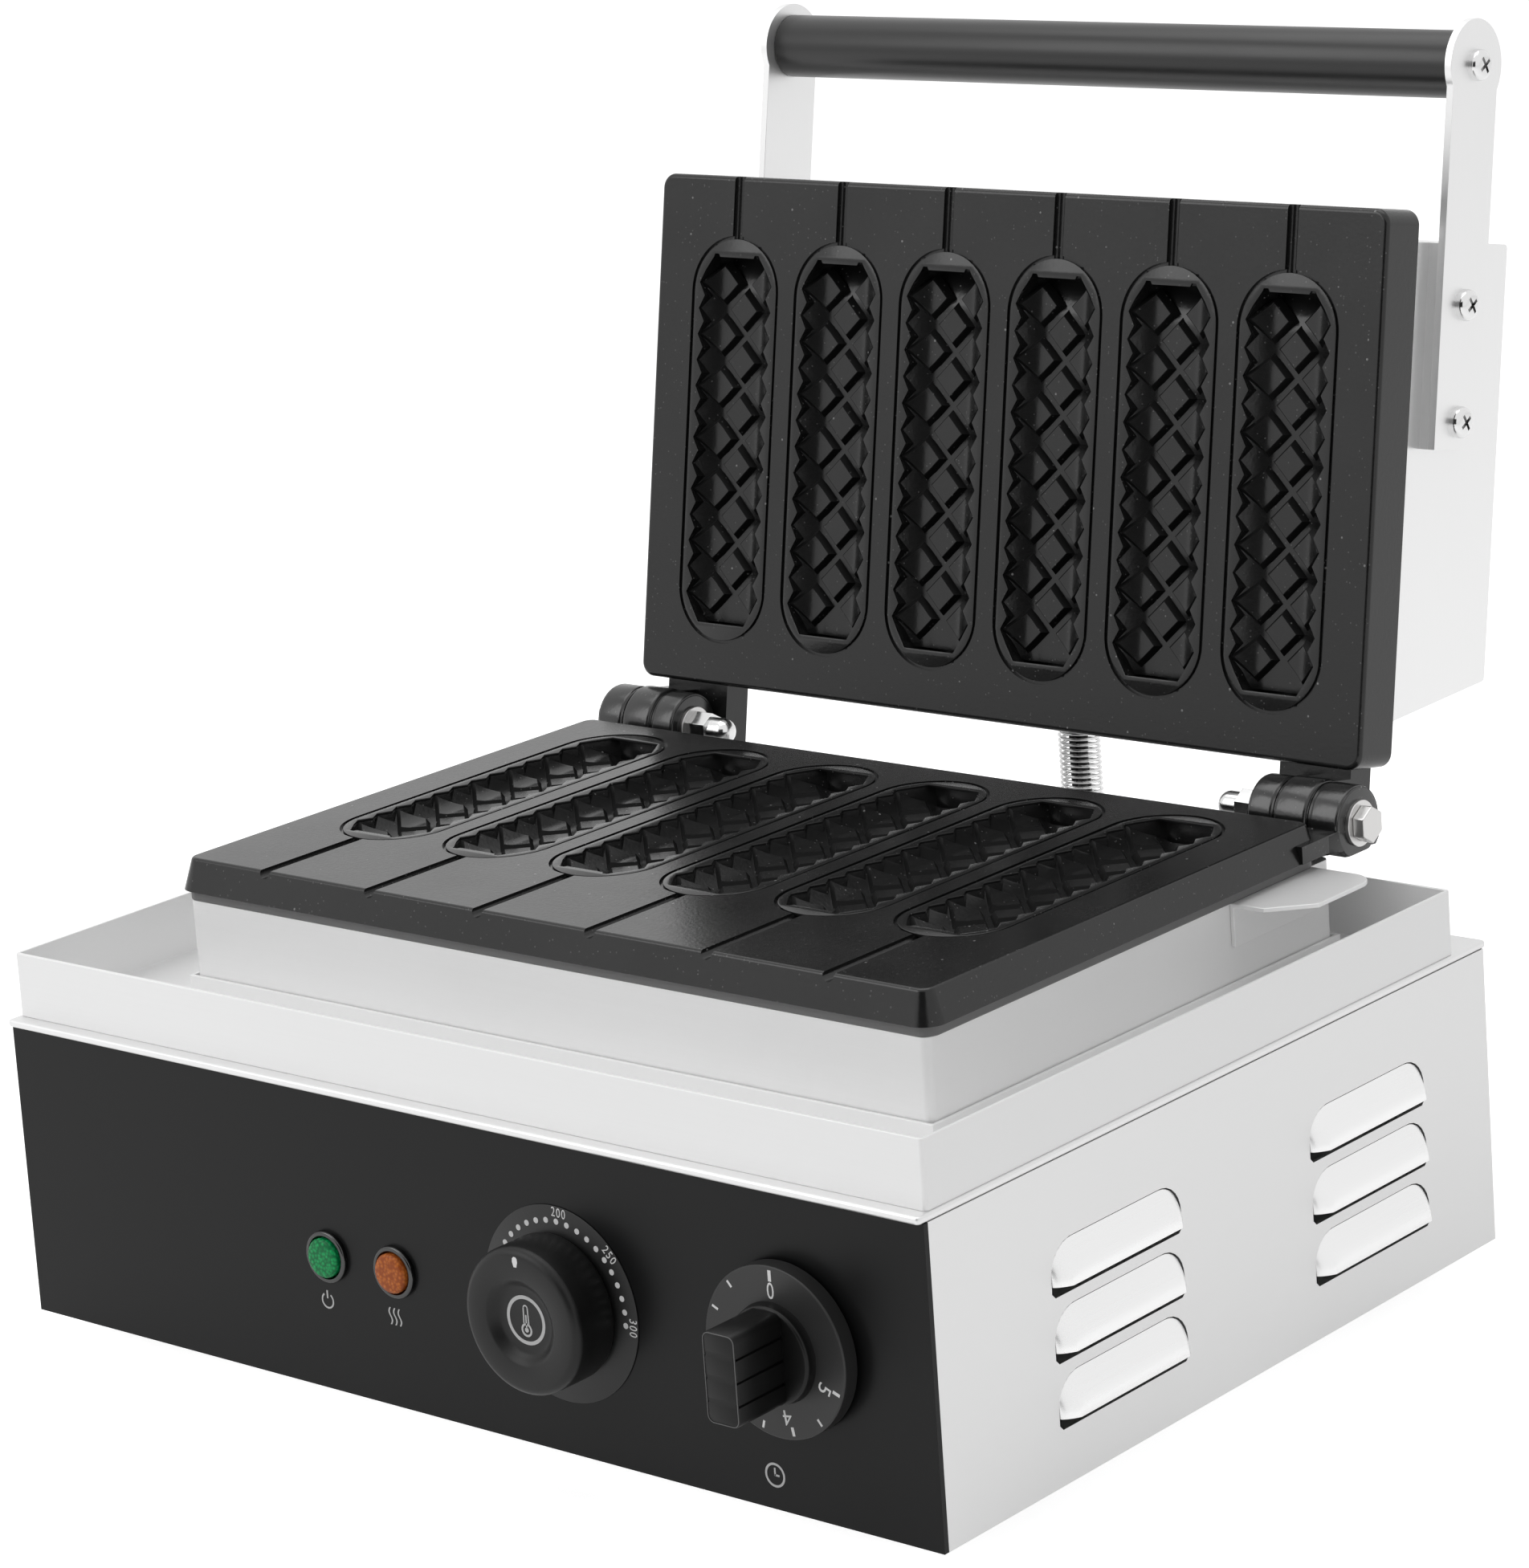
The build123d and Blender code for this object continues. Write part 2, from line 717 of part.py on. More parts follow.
def plate_gasket():
    """Sealing frame between the pedestal and the lower plate."""
    half = plate_width / 2 - gasket_inset
    y0 = plate_front_y + gasket_inset
    y1 = plate_back_y - gasket_inset
    ring = rounded_slab(-half, half, y0, y1, pedestal_top_z, plate_bottom_z, plate_corner - gasket_inset)
    ring = fillet(ring.edges().filter_by(Plane.XY), edge_break)
    inset = ledge_width
    hole = pedestal_width / 2 - inset
    ring -= slab(-hole, hole, pedestal_front_y + inset, pedestal_back_y - inset,
                 pedestal_top_z - cut_over, plate_bottom_z + cut_over)
    return ring


def upper_plate():
    """Cast lid plate with six moulds and a hinge arm at each side."""
    half = lid_width / 2
    plate = rounded_slab(-half, half, 0, lid_length, -lid_thickness, 0, lid_corner)
    plate = fillet(plate.edges().group_by(Axis.Z)[-1], lid_edge_round)
    plate -= mould_tools()
    hole_end = clamp_bolt_depth + fit_gap - lid_thickness
    for x, y in clamp_bolt_places():
        plate -= rod_z(x, shell_middle() + y, -lid_thickness - cut_over, hole_end, clamp_bolt_radius)
    arm_front = -(knuckle_radius + face_gap - face_above_axis)
    arm = slab(middle_outer_x - hinge_arm_width, middle_outer_x, -hinge_arm_drop, lid_corner,
               -lid_thickness, arm_front)
    web = slab(middle_inner_x, middle_outer_x, -hinge_arm_drop, knuckle_radius - lid_reach,
               -lid_thickness, face_above_axis)
    knuckle = rod_x(middle_inner_x, middle_outer_x, -lid_reach, face_above_axis, knuckle_radius)
    hinge_arm = arm + web + knuckle
    plate = plate + hinge_arm + mirrored(hinge_arm)
    plate = lid_frame.location * plate
    bore_length = 2 * outer_lug_face + cut_over
    plate -= Pos(0, hinge_y, hinge_z) * Rot(0, 90, 0) * Cylinder(hinge_bolt_radius + running_gap, bore_length)
    return plate


# Hinge fasteners

def hinge_bolts():
    """Hexagon bolts put in from the outer sides."""
    far = inner_lug_inner_x - washer_thickness - nut_length
    shank = rod_x(far, outer_lug_face + washer_thickness, hinge_y, hinge_z, hinge_bolt_radius)
    head = Pos(outer_lug_face + washer_thickness, hinge_y, hinge_z) * Rot(0, 90, 0) * hexagon(
        bolt_head_across, bolt_head_height)
    return both_sides(shank + head)


def hinge_washers():
    """Washers under the bolt heads and nuts."""
    inner = rod_x(inner_lug_inner_x - washer_thickness, inner_lug_inner_x, hinge_y, hinge_z, washer_radius)
    outer = rod_x(outer_lug_face, outer_lug_face + washer_thickness, hinge_y, hinge_z, washer_radius)
    bore = rod_x(0, side_x, hinge_y, hinge_z, hinge_bolt_radius)
    pair = [inner - bore, outer - bore]
    return group(pair + [mirrored(washer) for washer in pair])


def hinge_nuts():
    """Acorn nuts on the inner sides."""
    seat = inner_lug_inner_x - washer_thickness
    body = Rot(0, -90, 0) * hexagon(nut_across, nut_length)
    dome_radius = nut_across / 2 - edge_break
    dome = rod_x(-nut_length, -nut_length - nut_dome_length, 0, 0, dome_radius)
    dome = fillet(dome.edges().group_by(Axis.X)[0], dome_radius - edge_break)
    bore = rod_x(-nut_length, cut_over, 0, 0, hinge_bolt_radius)
    return both_sides(Pos(seat, hinge_y, hinge_z) * (body + dome - bore))


# Heating parts

def heater(frame_z, middle_y, side):
    """Tubular element in four passes, with both tails turned away from the plate."""
    z = frame_z + side * (fit_gap + heater_radius)
    tail_z = z + side * heater_tail
    rows = [middle_y + (k - (heater_passes - 1) / 2) * heater_pass_gap for k in range(heater_passes)]
    end = heater_run
    near_end = end - heater_pass_gap / 2
    points = [(end, rows[0], tail_z), (end, rows[0], z)]
    for k in range(heater_passes - 1):
        turn_x = near_end if k % 2 else -end
        points += [(turn_x, rows[k], z), (turn_x, rows[k + 1], z)]
    points += [(end, rows[-1], z), (end, rows[-1], tail_z)]
    bends = [heater_turn_radius] + [heater_bend_radius] * (len(points) - 4) + [heater_turn_radius]
    path = FilletPolyline(*points, radius=bends)
    return sweep(path.location_at(0) * Circle(heater_radius), path=path)


def clamp_plate(frame_z, middle_y, side):
    """Plate that presses the element against the casting."""
    near = frame_z + side * (2 * fit_gap + 2 * heater_radius)
    far = near + side * clamp_thickness
    low = min(near, far)
    high = max(near, far)
    plate = slab(-clamp_width / 2, clamp_width / 2, middle_y - clamp_length / 2, middle_y + clamp_length / 2,
                 low, high)
    for x, y in clamp_bolt_places():
        plate -= rod_z(x, middle_y + y, low - cut_over, high + cut_over, clamp_bolt_radius)
    return plate


def clamp_bolts(frame_z, middle_y, side):
    """Bolts through the clamp plate into the casting."""
    far = frame_z + side * (2 * fit_gap + 2 * heater_radius + clamp_thickness)
    pieces = []
    for x, y in clamp_bolt_places():
        head = Pos(x, middle_y + y, far) * Rot(0 if side > 0 else 180, 0, 0) * hexagon(
            bolt_head_across, bolt_head_height)
        shank = rod_z(x, middle_y + y, far, frame_z - side * clamp_bolt_depth, clamp_bolt_radius)
        pieces.append(head + shank)
    return group(pieces)


def plate_middle():
    """Middle of the lower plate, front to back."""
    return (plate_front_y + plate_back_y) / 2


def lower_insulation():
    """Pad on the heat shield, pierced for the capillary."""
    inset = ledge_width + sheet + well_gap
    half = pedestal_width / 2 - inset
    z0 = cover_top_z - sheet
    z1 = z0 + insulation_thickness
    pad = slab(-half, half, pedestal_front_y + inset, pedestal_back_y - inset, z0, z1)
    hole = capillary_radius + fit_gap
    return pad - rod_z(capillary_drop_x, plate_middle(), z0 - cut_over, z1 + cut_over, hole)


def heat_shield():
    """Bright sheet that closes the cover's opening from below."""
    half = pedestal_width / 2 + heat_shield_margin
    z1 = cover_top_z - sheet
    plate = slab(-half, half, pedestal_front_y - heat_shield_margin, pedestal_back_y + heat_shield_margin,
                 z1 - sheet, z1)
    hole = capillary_radius + fit_gap
    return plate - rod_z(capillary_drop_x, plate_middle(), z1 - sheet - cut_over, z1 + cut_over, hole)


# Controls

def panel_rod(x, z, y0, y1, radius):
    """Cylinder square to the panel."""
    return rod_y(x, y0, y1, z, radius)


def dial_ring():
    """Thin printed ring fixed to the panel round the thermostat knob."""
    y1 = panel_front_y
    y0 = y1 - dial_ring_thickness
    ring = panel_rod(thermostat_x, thermostat_z, y0, y1, dial_ring_radius)
    return ring - panel_rod(thermostat_x, thermostat_z, y0 - cut_over, y1 + cut_over, dial_ring_bore)


def thermostat_knob():
    """Tall round knob with a dished face and a pointer groove."""
    face = panel_front_y - thermostat_knob_face
    back = thermostat_knob_back
    knob = panel_rod(thermostat_x, thermostat_z, face, back, thermostat_knob_radius)
    knob = fillet(knob.edges().group_by(Axis.Y)[0], knob_edge_round)
    knob -= panel_rod(thermostat_x, thermostat_z, face - cut_over, face + knob_dish_depth, knob_dish_radius)
    pointer_top = thermostat_z + thermostat_knob_radius - knob_edge_round
    knob -= slab(thermostat_x - pointer_width / 2, thermostat_x + pointer_width / 2, face - cut_over,
                 face + pointer_depth, pointer_top - pointer_length, pointer_top)
    knob -= panel_rod(thermostat_x, thermostat_z, back - shaft_in_knob, back + cut_over, shaft_radius)
    return knob


def control_shaft(x, z, knob_back, body_front):
    """Shaft from inside a knob to inside the control behind the panel."""
    return panel_rod(x, z, knob_back - shaft_in_knob, body_front + shaft_in_body, shaft_radius)


def control_body(x, z, width, height, depth):
    """Case of a control with its threaded bush through the panel and a nut behind."""
    front = control_front
    case = slab(x - width / 2, x + width / 2, front, front + depth, z - height / 2, z + height / 2)
    case = fillet(case.edges().filter_by(Axis.Y), edge_break)
    case += panel_rod(x, z, panel_front_y, front + edge_break, bush_radius)
    case += Pos(x, front, z) * Rot(90, 0, 0) * hexagon(bush_nut_across, bush_nut_height)
    bore_end = front + shaft_in_body + fit_gap
    return case - panel_rod(x, z, panel_front_y - cut_over, bore_end, shaft_radius + running_gap)


def thermostat_bulb():
    """Sensing bulb under the lower plate and its capillary down to the thermostat."""
    y = plate_middle()
    z = well_bottom_z - fit_gap - bulb_radius
    body_rear = control_front + thermostat_body_depth
    bulb = rod_x(-bulb_length / 2, bulb_length / 2, y, z, bulb_radius)
    bulb = fillet(bulb.edges(), edge_break)
    path = FilletPolyline((bulb_length / 2 - edge_break, y, z), (capillary_drop_x, y, z),
                          (capillary_drop_x, y, thermostat_z), (thermostat_x, y, thermostat_z),
                          (thermostat_x, body_rear, thermostat_z), radius=capillary_bend)
    tube = sweep(path.location_at(0) * Circle(capillary_radius), path=path)
    return bulb + tube


def timer_knob():
    """Skirted dial with a boss and an upright wing grip."""
    back = timer_knob_back
    skirt_face = back - skirt_thickness
    face = panel_front_y - wing_face
    knob = panel_rod(timer_x, timer_z, skirt_face, back, skirt_radius)
    knob = fillet(knob.edges().group_by(Axis.Y)[0], skirt_edge)
    knob += panel_rod(timer_x, timer_z, skirt_face - boss_height, skirt_face, boss_radius)
    wing = slab(timer_x - wing_width / 2, timer_x + wing_width / 2, face, skirt_face,
                timer_z - wing_height / 2, timer_z + wing_height / 2)
    wing = fillet(wing.edges().filter_by(Axis.Y), wing_edge_round)
    pitch = wing_height / (wing_groove_count + 1)
    for k in range(wing_groove_count):
        z = timer_z + (k - (wing_groove_count - 1) / 2) * pitch
        for side in (-1, 1):
            x = timer_x + side * wing_width / 2
            wing -= slab(x - wing_groove_depth, x + wing_groove_depth,
                         face - cut_over, skirt_face - boss_height, z - wing_groove / 2, z + wing_groove / 2)
    knob += wing
    knob -= panel_rod(timer_x, timer_z, back - shaft_in_knob, back + cut_over, shaft_radius)
    return knob


def timer_bell():
    """Bell cup behind the timer."""
    front = control_front + timer_body_depth
    cup = panel_rod(timer_x, timer_z, front, front + bell_depth, bell_radius)
    cup = fillet(cup.edges().group_by(Axis.Y)[-1], bell_wall * 2)
    hollow_radius = bell_radius - bell_wall
    cup -= panel_rod(timer_x, timer_z, front - cut_over, front + bell_depth - bell_wall, hollow_radius)
    cup += panel_rod(timer_x, timer_z, front, front + bell_depth - bell_wall / 2, shaft_radius)
    return cup


def lamp_lens(x, z):
    """Domed lens that stands out of its ring."""
    seat = panel_front_y - fit_gap
    lens = panel_rod(x, z, panel_front_y - lens_height, seat, lens_radius)
    lens = fillet(lens.edges().group_by(Axis.Y)[0], lens_round)
    return lens + panel_rod(x, z, seat, panel_back_y, lamp_neck_radius)


def lamp_bezels():
    """Bright rings round the lamps."""
    rings = []
    for x, z in lamp_places:
        ring = panel_rod(x, z, panel_front_y - bezel_height, panel_front_y, bezel_radius)
        ring = fillet(ring.edges().group_by(Axis.Y)[0], edge_break)
        rings.append(ring - panel_rod(x, z, panel_front_y - bezel_height - cut_over, panel_front_y + cut_over,
                                      lens_radius + running_gap))
    return group(rings)


def lamp_holders():
    """Lamp bodies clipped behind the panel."""
    bodies = []
    for x, z in lamp_places:
        bodies.append(panel_rod(x, z, panel_back_y, panel_back_y + lamp_holder_length, lamp_holder_radius))
    return group(bodies)


# Wiring pieces

def terminal_block():
    """Ceramic connector strip on the bottom plate."""
    z0 = base_bottom_z + sheet
    x0 = terminal_x - terminal_width / 2
    block = slab(x0, x0 + terminal_width, terminal_y - terminal_length / 2, terminal_y + terminal_length / 2,
                 z0, z0 + terminal_height)
    pitch = terminal_width / terminal_ways
    for k in range(terminal_ways):
        x = x0 + (k + 1 / 2) * pitch
        block -= slab(x - terminal_slot / 2, x + terminal_slot / 2, terminal_y - terminal_length,
                      terminal_y + terminal_length, z0 + terminal_height / 2, z0 + terminal_height + cut_over)
    return block


def cord_gland():
    """Inlet gland for the supply cord in the back panel."""
    body = rod_y(gland_x, rear_y, rear_y + gland_flange, gland_z, gland_radius + gland_flange)
    body += rod_y(gland_x, rear_y, rear_y + gland_length, gland_z, gland_radius)
    body += rod_y(gland_x, rear_y - sheet - gland_nut_height - cut_over, rear_y, gland_z, gland_thread_radius)
    return body - rod_y(gland_x, front_y, rear_y + gland_length + cut_over, gland_z, gland_bore)


def gland_nut():
    """Lock nut inside the back panel."""
    y1 = rear_y - sheet
    nut = Pos(gland_x, y1, gland_z) * Rot(90, 0, 0) * hexagon(2 * gland_nut_radius, gland_nut_height)
    return nut - rod_y(gland_x, y1 - gland_nut_height - cut_over, y1 + cut_over, gland_z, gland_thread_radius)


# Spring conduit

def shell_heel_at(depth):
    """Distance of the lid shell's slanted end from the hinge edge, at a depth behind the cooking face."""
    return shell_heel + shell_slant * (depth - lid_thickness) / shell_depth


def shell_middle():
    """Middle of the lid plate, hinge edge to free edge."""
    return (shell_heel + shell_free_end) / 2


def conduit_elbow():
    """Right-angle fitting that brings the conduit out of the back panel, with a cup for the spring."""
    path = FilletPolyline((conduit_x, rear_y, elbow_height), (conduit_x, conduit_y, elbow_height),
                          (conduit_x, conduit_y, conduit_seat_height), radius=elbow_bend)
    outer = sweep(path.location_at(0) * Circle(elbow_radius), path=path)
    outer += rod_y(conduit_x, rear_y, rear_y + gland_flange, elbow_height, elbow_radius + ferrule_wall)
    outer += rod_z(conduit_x, conduit_y, conduit_seat_height - ferrule_base, conduit_seat_height + cup_depth,
                   cup_radius + ferrule_wall)
    cup_top = conduit_seat_height + cup_depth
    outer -= rod_z(conduit_x, conduit_y, conduit_seat_height, cup_top + cut_over, cup_radius)
    inner = sweep(path.location_at(0) * Circle(elbow_bore), path=path)
    return outer - inner


def conduit_ferrule():
    """Cup on the lid shell that takes the conduit's upper end."""
    top = ferrule_top_z + ferrule_base
    cup = rod_z(conduit_x, conduit_y, ferrule_top_z - ferrule_drop, top, cup_radius + ferrule_wall)
    cup -= rod_z(conduit_x, conduit_y, ferrule_top_z - ferrule_drop - cut_over, ferrule_top_z - ferrule_base,
                 cup_radius)
    cup -= rod_z(conduit_x, conduit_y, conduit_seat_height, top + cut_over, elbow_bore)
    return cup - lid_frame.location * shell_block(0)


def helix_point(turns, radius):
    """Place and heading on the spring's centreline."""
    angle = 2 * math.pi * turns
    place = Vector(conduit_x + radius * math.cos(angle), conduit_y + radius * math.sin(angle),
                   spring_bottom_z + conduit_pitch * turns)
    heading = Vector(-math.sin(angle) * radius, math.cos(angle) * radius, conduit_pitch / (2 * math.pi))
    return place, heading.normalized()


def half_turn(start, start_heading, end, end_heading):
    """Two tangent arcs from one heading to another."""
    span = end - start
    both = start_heading + end_heading
    a = 2 * (start_heading.dot(end_heading) - 1)
    b = -2 * span.dot(both)
    c = span.dot(span)
    reach = (-b - math.sqrt(b * b - 4 * a * c)) / (2 * a)
    knee_a = start + start_heading * reach
    knee_b = end - end_heading * reach
    joint = (knee_a + knee_b) / 2
    heading = (knee_b - knee_a).normalized()
    return [Edge.make_tangent_arc(start, start_heading, joint), Edge.make_tangent_arc(joint, heading, end)]


def spring_conduit():
    """Open-wound spring from the elbow's cup to the lid's cup, as one wire."""
    radius = conduit_radius - conduit_wire_radius
    half_turns = math.floor(2 * (spring_top_z - spring_bottom_z) / conduit_pitch)
    edges = []
    for k in range(half_turns):
        start, start_heading = helix_point(k / 2, radius)
        end, end_heading = helix_point((k + 1) / 2, radius)
        edges += half_turn(start, start_heading, end, end_heading)
    path = Wire(edges)
    start, heading = helix_point(0, radius)
    coil = sweep(Plane(start, z_dir=heading) * Circle(conduit_wire_radius), path=path)
    count = half_turns * samples_per_half_turn
    samples = [path.position_at(k / count) for k in range(count + 1)]
    nearest = round(nearest_turn_share * 2 * samples_per_half_turn)
    farthest = round(farthest_turn_share * 2 * samples_per_half_turn)
    gap = min((samples[k] - samples[k + step]).length for step in range(nearest, farthest)
              for k in range(count + 1 - step)) - 2 * conduit_wire_radius
    print("spring turns", half_turns / 2, "least gap to itself", round(gap, 3), "mm")
    return coil


def lid_wires():
    """Insulated wires that run to the lid inside the spring."""
    pieces = []
    for k in range(wire_count):
        angle = 2 * math.pi * k / wire_count
        x = conduit_x + wire_ring * math.cos(angle)
        y = conduit_y + wire_ring * math.sin(angle)
        pieces.append(rod_z(x, y, conduit_seat_height, ferrule_top_z - ferrule_base, wire_radius))
    return group(pieces)


# Lid shell and handle

def shell_block(inset):
    """Outer or inner form of the lid shell, in the lid's frame."""
    half = shell_width / 2 - inset
    front = lid_thickness - (cut_over if inset else 0)
    back = lid_thickness + shell_depth - inset
    free = shell_free_end - inset
    outline = Polyline((shell_heel_at(front) + inset, -front), (free, -front), (free, -back),
                       (shell_heel_at(back) + inset, -back), close=True)
    face = Plane.YZ * make_face(outline)
    block = extrude(face, half, both=True)
    if inset:
        return block
    return fillet(block.edges().filter_by(Axis.X).group_by(Axis.Z)[0], bend_radius)


def lid_housing():
    """Stainless shell behind the lid plate, open towards the plate."""
    shell = lid_frame.location * (shell_block(0) - shell_block(sheet))
    low = ferrule_top_z - cut_over * 2
    return shell - rod_z(conduit_x, conduit_y, low, ferrule_top_z + cut_over * 2, elbow_bore)


def handle_bar():
    """Right-hand flat bar with a round head."""
    inner = shell_width / 2 + spacer_thickness
    outer = inner + bar_thickness
    z = -bar_centre_depth
    bar = slab(inner, outer, bar_lower_end, grip_centre, z - bar_width / 2, z + bar_width / 2)
    bar += rod_x(inner, outer, grip_centre, z, bar_head_radius)
    bar -= rod_x(inner - cut_over, outer + cut_over, grip_centre, z, pan_screw_radius)
    for place in bar_screw_places:
        bar -= rod_x(inner - cut_over, outer + cut_over, place, z, pan_screw_radius)
    return lid_frame.location * bar


def bar_spacer():
    """Right-hand packing strip between bar and shell."""
    inner = shell_width / 2
    z = -bar_centre_depth
    strip = slab(inner, inner + spacer_thickness, bar_lower_end, shell_free_end,
                 z - bar_width / 2, z + bar_width / 2)
    for place in bar_screw_places:
        strip -= rod_x(inner - cut_over, inner + spacer_thickness + cut_over, place, z, pan_screw_radius)
    return lid_frame.location * strip


def pan_screw(seat, length):
    """Pan-head screw along X with its head beyond the seat."""
    head = rod_x(seat, seat + pan_head_height, 0, 0, pan_head_radius)
    head = fillet(head.edges().group_by(Axis.X)[-1], pan_head_height / 2)
    return head + rod_x(seat - length, seat, 0, 0, pan_screw_radius)


def bar_screws():
    """Screws that hold both bars to the shell."""
    seat = shell_width / 2 + spacer_thickness + bar_thickness
    length = seat - shell_width / 2 + bar_screw_inner_length
    screws = []
    for place in bar_screw_places:
        screw = Pos(0, place, -bar_centre_depth) * pan_screw(seat, length)
        screws += [lid_frame.location * screw, lid_frame.location * mirrored(screw)]
    return group(screws)


def shell_with_screw_holes(shell):
    """Clear the bar screws out of the lid shell."""
    for place in bar_screw_places:
        hole = rod_x(-side_x, side_x, place, -bar_centre_depth, pan_screw_radius)
        shell -= lid_frame.location * hole
    return shell


def grip_screws():
    """Screws through the bar heads into the rod."""
    seat = shell_width / 2 + spacer_thickness + bar_thickness
    screw = Pos(0, grip_centre, -bar_centre_depth) * pan_screw(seat, bar_thickness + grip_screw_depth)
    return both_sides(lid_frame.location * screw)


def handle_rod():
    """Steel rod inside the grip."""
    end = shell_width / 2 + spacer_thickness
    rod = rod_x(-end, end, grip_centre, -bar_centre_depth, rod_radius)
    near = end - grip_screw_depth
    for side in (-1, 1):
        rod -= rod_x(side * end, side * near, grip_centre, -bar_centre_depth, pan_screw_radius)
    return lid_frame.location * rod


def handle_grip():
    """Black grip sleeve between the bars."""
    end = shell_width / 2 + spacer_thickness
    sleeve = rod_x(-end, end, grip_centre, -bar_centre_depth, grip_radius)
    sleeve -= rod_x(-side_x, side_x, grip_centre, -bar_centre_depth, rod_radius + running_gap)
    return lid_frame.location * sleeve


def lid_insulation():
    """Pad against the inner back of the lid shell."""
    half = shell_width / 2 - sheet - fit_gap
    back = lid_thickness + shell_depth - sheet
    pad = slab(-half, half, shell_heel_at(back) + sheet + fit_gap, shell_free_end - sheet - fit_gap,
               -back, lid_insulation_thickness - back)
    return lid_frame.location * pad


# Write every node
save("right_side_panel", side_panel())
save("left_side_panel", mirrored(side_panel()))
save("rear_panel", rear_panel())
save("bottom_plate", bottom_plate())
save("front_panel", front_panel())
save("top_cover", top_cover())
save("feet", feet())
save("foot_screws", foot_screws())
save("drip_tray", drip_tray())
save("pedestal", pedestal())
save("side_tabs", side_tabs())
save("plate_gasket", plate_gasket())
save("lower_plate", lower_plate())
save("lower_heater", heater(well_bottom_z, plate_middle(), -1))
save("lower_heater_clamp", clamp_plate(well_bottom_z, plate_middle(), -1))
save("lower_clamp_bolts", clamp_bolts(well_bottom_z, plate_middle(), -1))
save("lower_insulation", lower_insulation())
save("heat_shield", heat_shield())
save("dial_ring", dial_ring())
save("thermostat_body", control_body(thermostat_x, thermostat_z, thermostat_body_width,
                                     thermostat_body_height, thermostat_body_depth))
save("thermostat_bulb", thermostat_bulb())
save("timer_body", control_body(timer_x, timer_z, timer_body_width, timer_body_width, timer_body_depth))
save("timer_bell", timer_bell())
save("lamp_bezels", lamp_bezels())
save("power_lamp_lens", lamp_lens(power_lamp_x, power_lamp_z))
save("heat_lamp_lens", lamp_lens(heat_lamp_x, heat_lamp_z))
save("lamp_holders", lamp_holders())
save("terminal_block", terminal_block())
save("cord_gland", cord_gland())
save("gland_nut", gland_nut())
save("hinge_bolts", hinge_bolts())
save("hinge_washers", hinge_washers())
save("hinge_nuts", hinge_nuts())
save("conduit_elbow", conduit_elbow())
save("spring_conduit", spring_conduit())
save("lid_wires", lid_wires())
save("upper_plate", upper_plate())
save("lid_housing", shell_with_screw_holes(lid_housing()))
save("upper_heater", lid_frame.location * heater(-lid_thickness, shell_middle(), -1))
save("upper_heater_clamp", lid_frame.location * clamp_plate(-lid_thickness, shell_middle(), -1))
save("upper_clamp_bolts", lid_frame.location * clamp_bolts(-lid_thickness, shell_middle(), -1))
save("lid_insulation", lid_insulation())
save("right_handle_bar", handle_bar())
save("left_handle_bar", mirrored(handle_bar()))
save("right_bar_spacer", bar_spacer())
save("left_bar_spacer", mirrored(bar_spacer()))
save("handle_grip", handle_grip())
save("handle_rod", handle_rod())
save("grip_screws", grip_screws())
save("bar_screws", bar_screws())
save("conduit_ferrule", conduit_ferrule())
save("thermostat_knob", thermostat_knob())
save("thermostat_shaft", control_shaft(thermostat_x, thermostat_z, thermostat_knob_back, control_front))
save("timer_knob", timer_knob())
save("timer_shaft", control_shaft(timer_x, timer_z, timer_knob_back, control_front))
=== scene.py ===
"""Dresses the corn dog maker: finishes, cast plates, dials, lamps, fasteners, conduit, light and camera."""

import json
import logging
import math
from dataclasses import dataclass
from enum import Enum
from typing import Callable, Sequence, Union

import bmesh
import bpy
from mathutils import Matrix, Vector


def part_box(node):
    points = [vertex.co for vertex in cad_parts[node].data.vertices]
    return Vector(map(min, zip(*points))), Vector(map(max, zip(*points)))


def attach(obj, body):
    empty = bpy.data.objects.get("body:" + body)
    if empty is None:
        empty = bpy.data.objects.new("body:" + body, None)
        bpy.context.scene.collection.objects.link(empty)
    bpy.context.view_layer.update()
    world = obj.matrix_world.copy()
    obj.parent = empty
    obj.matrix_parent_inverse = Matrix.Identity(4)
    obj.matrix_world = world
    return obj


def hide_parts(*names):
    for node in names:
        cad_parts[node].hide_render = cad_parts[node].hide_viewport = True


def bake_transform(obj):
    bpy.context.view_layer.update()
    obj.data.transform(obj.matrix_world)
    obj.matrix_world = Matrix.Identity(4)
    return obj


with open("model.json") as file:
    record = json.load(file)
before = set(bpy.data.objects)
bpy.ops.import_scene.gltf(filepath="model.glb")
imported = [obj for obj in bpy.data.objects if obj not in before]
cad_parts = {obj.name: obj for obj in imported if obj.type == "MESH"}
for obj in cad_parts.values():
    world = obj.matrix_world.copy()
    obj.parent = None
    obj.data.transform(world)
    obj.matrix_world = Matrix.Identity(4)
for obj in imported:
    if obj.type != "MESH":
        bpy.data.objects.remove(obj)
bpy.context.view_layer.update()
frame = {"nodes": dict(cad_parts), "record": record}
log = logging.getLogger("corn_dog_maker")

MM = 0.001
SMOOTH = 32.0
LEAN = math.radians(10.1)
LID_EDGE = (0.0, 90.668, 159.838)
HERE = Matrix.Identity(4)
Point = tuple[float, float, float]
Line = Sequence[tuple[float, float]]
Colour = tuple[float, float, float]
Feed = Union["Flow", bpy.types.NodeSocket, float, tuple]


def grey(level: float, warmth: float = 0.0) -> Colour:
    """Returns a near-neutral colour, with more red than blue by a share of its level."""
    return (level * (1 + warmth / 2), level, level * (1 - warmth / 2))


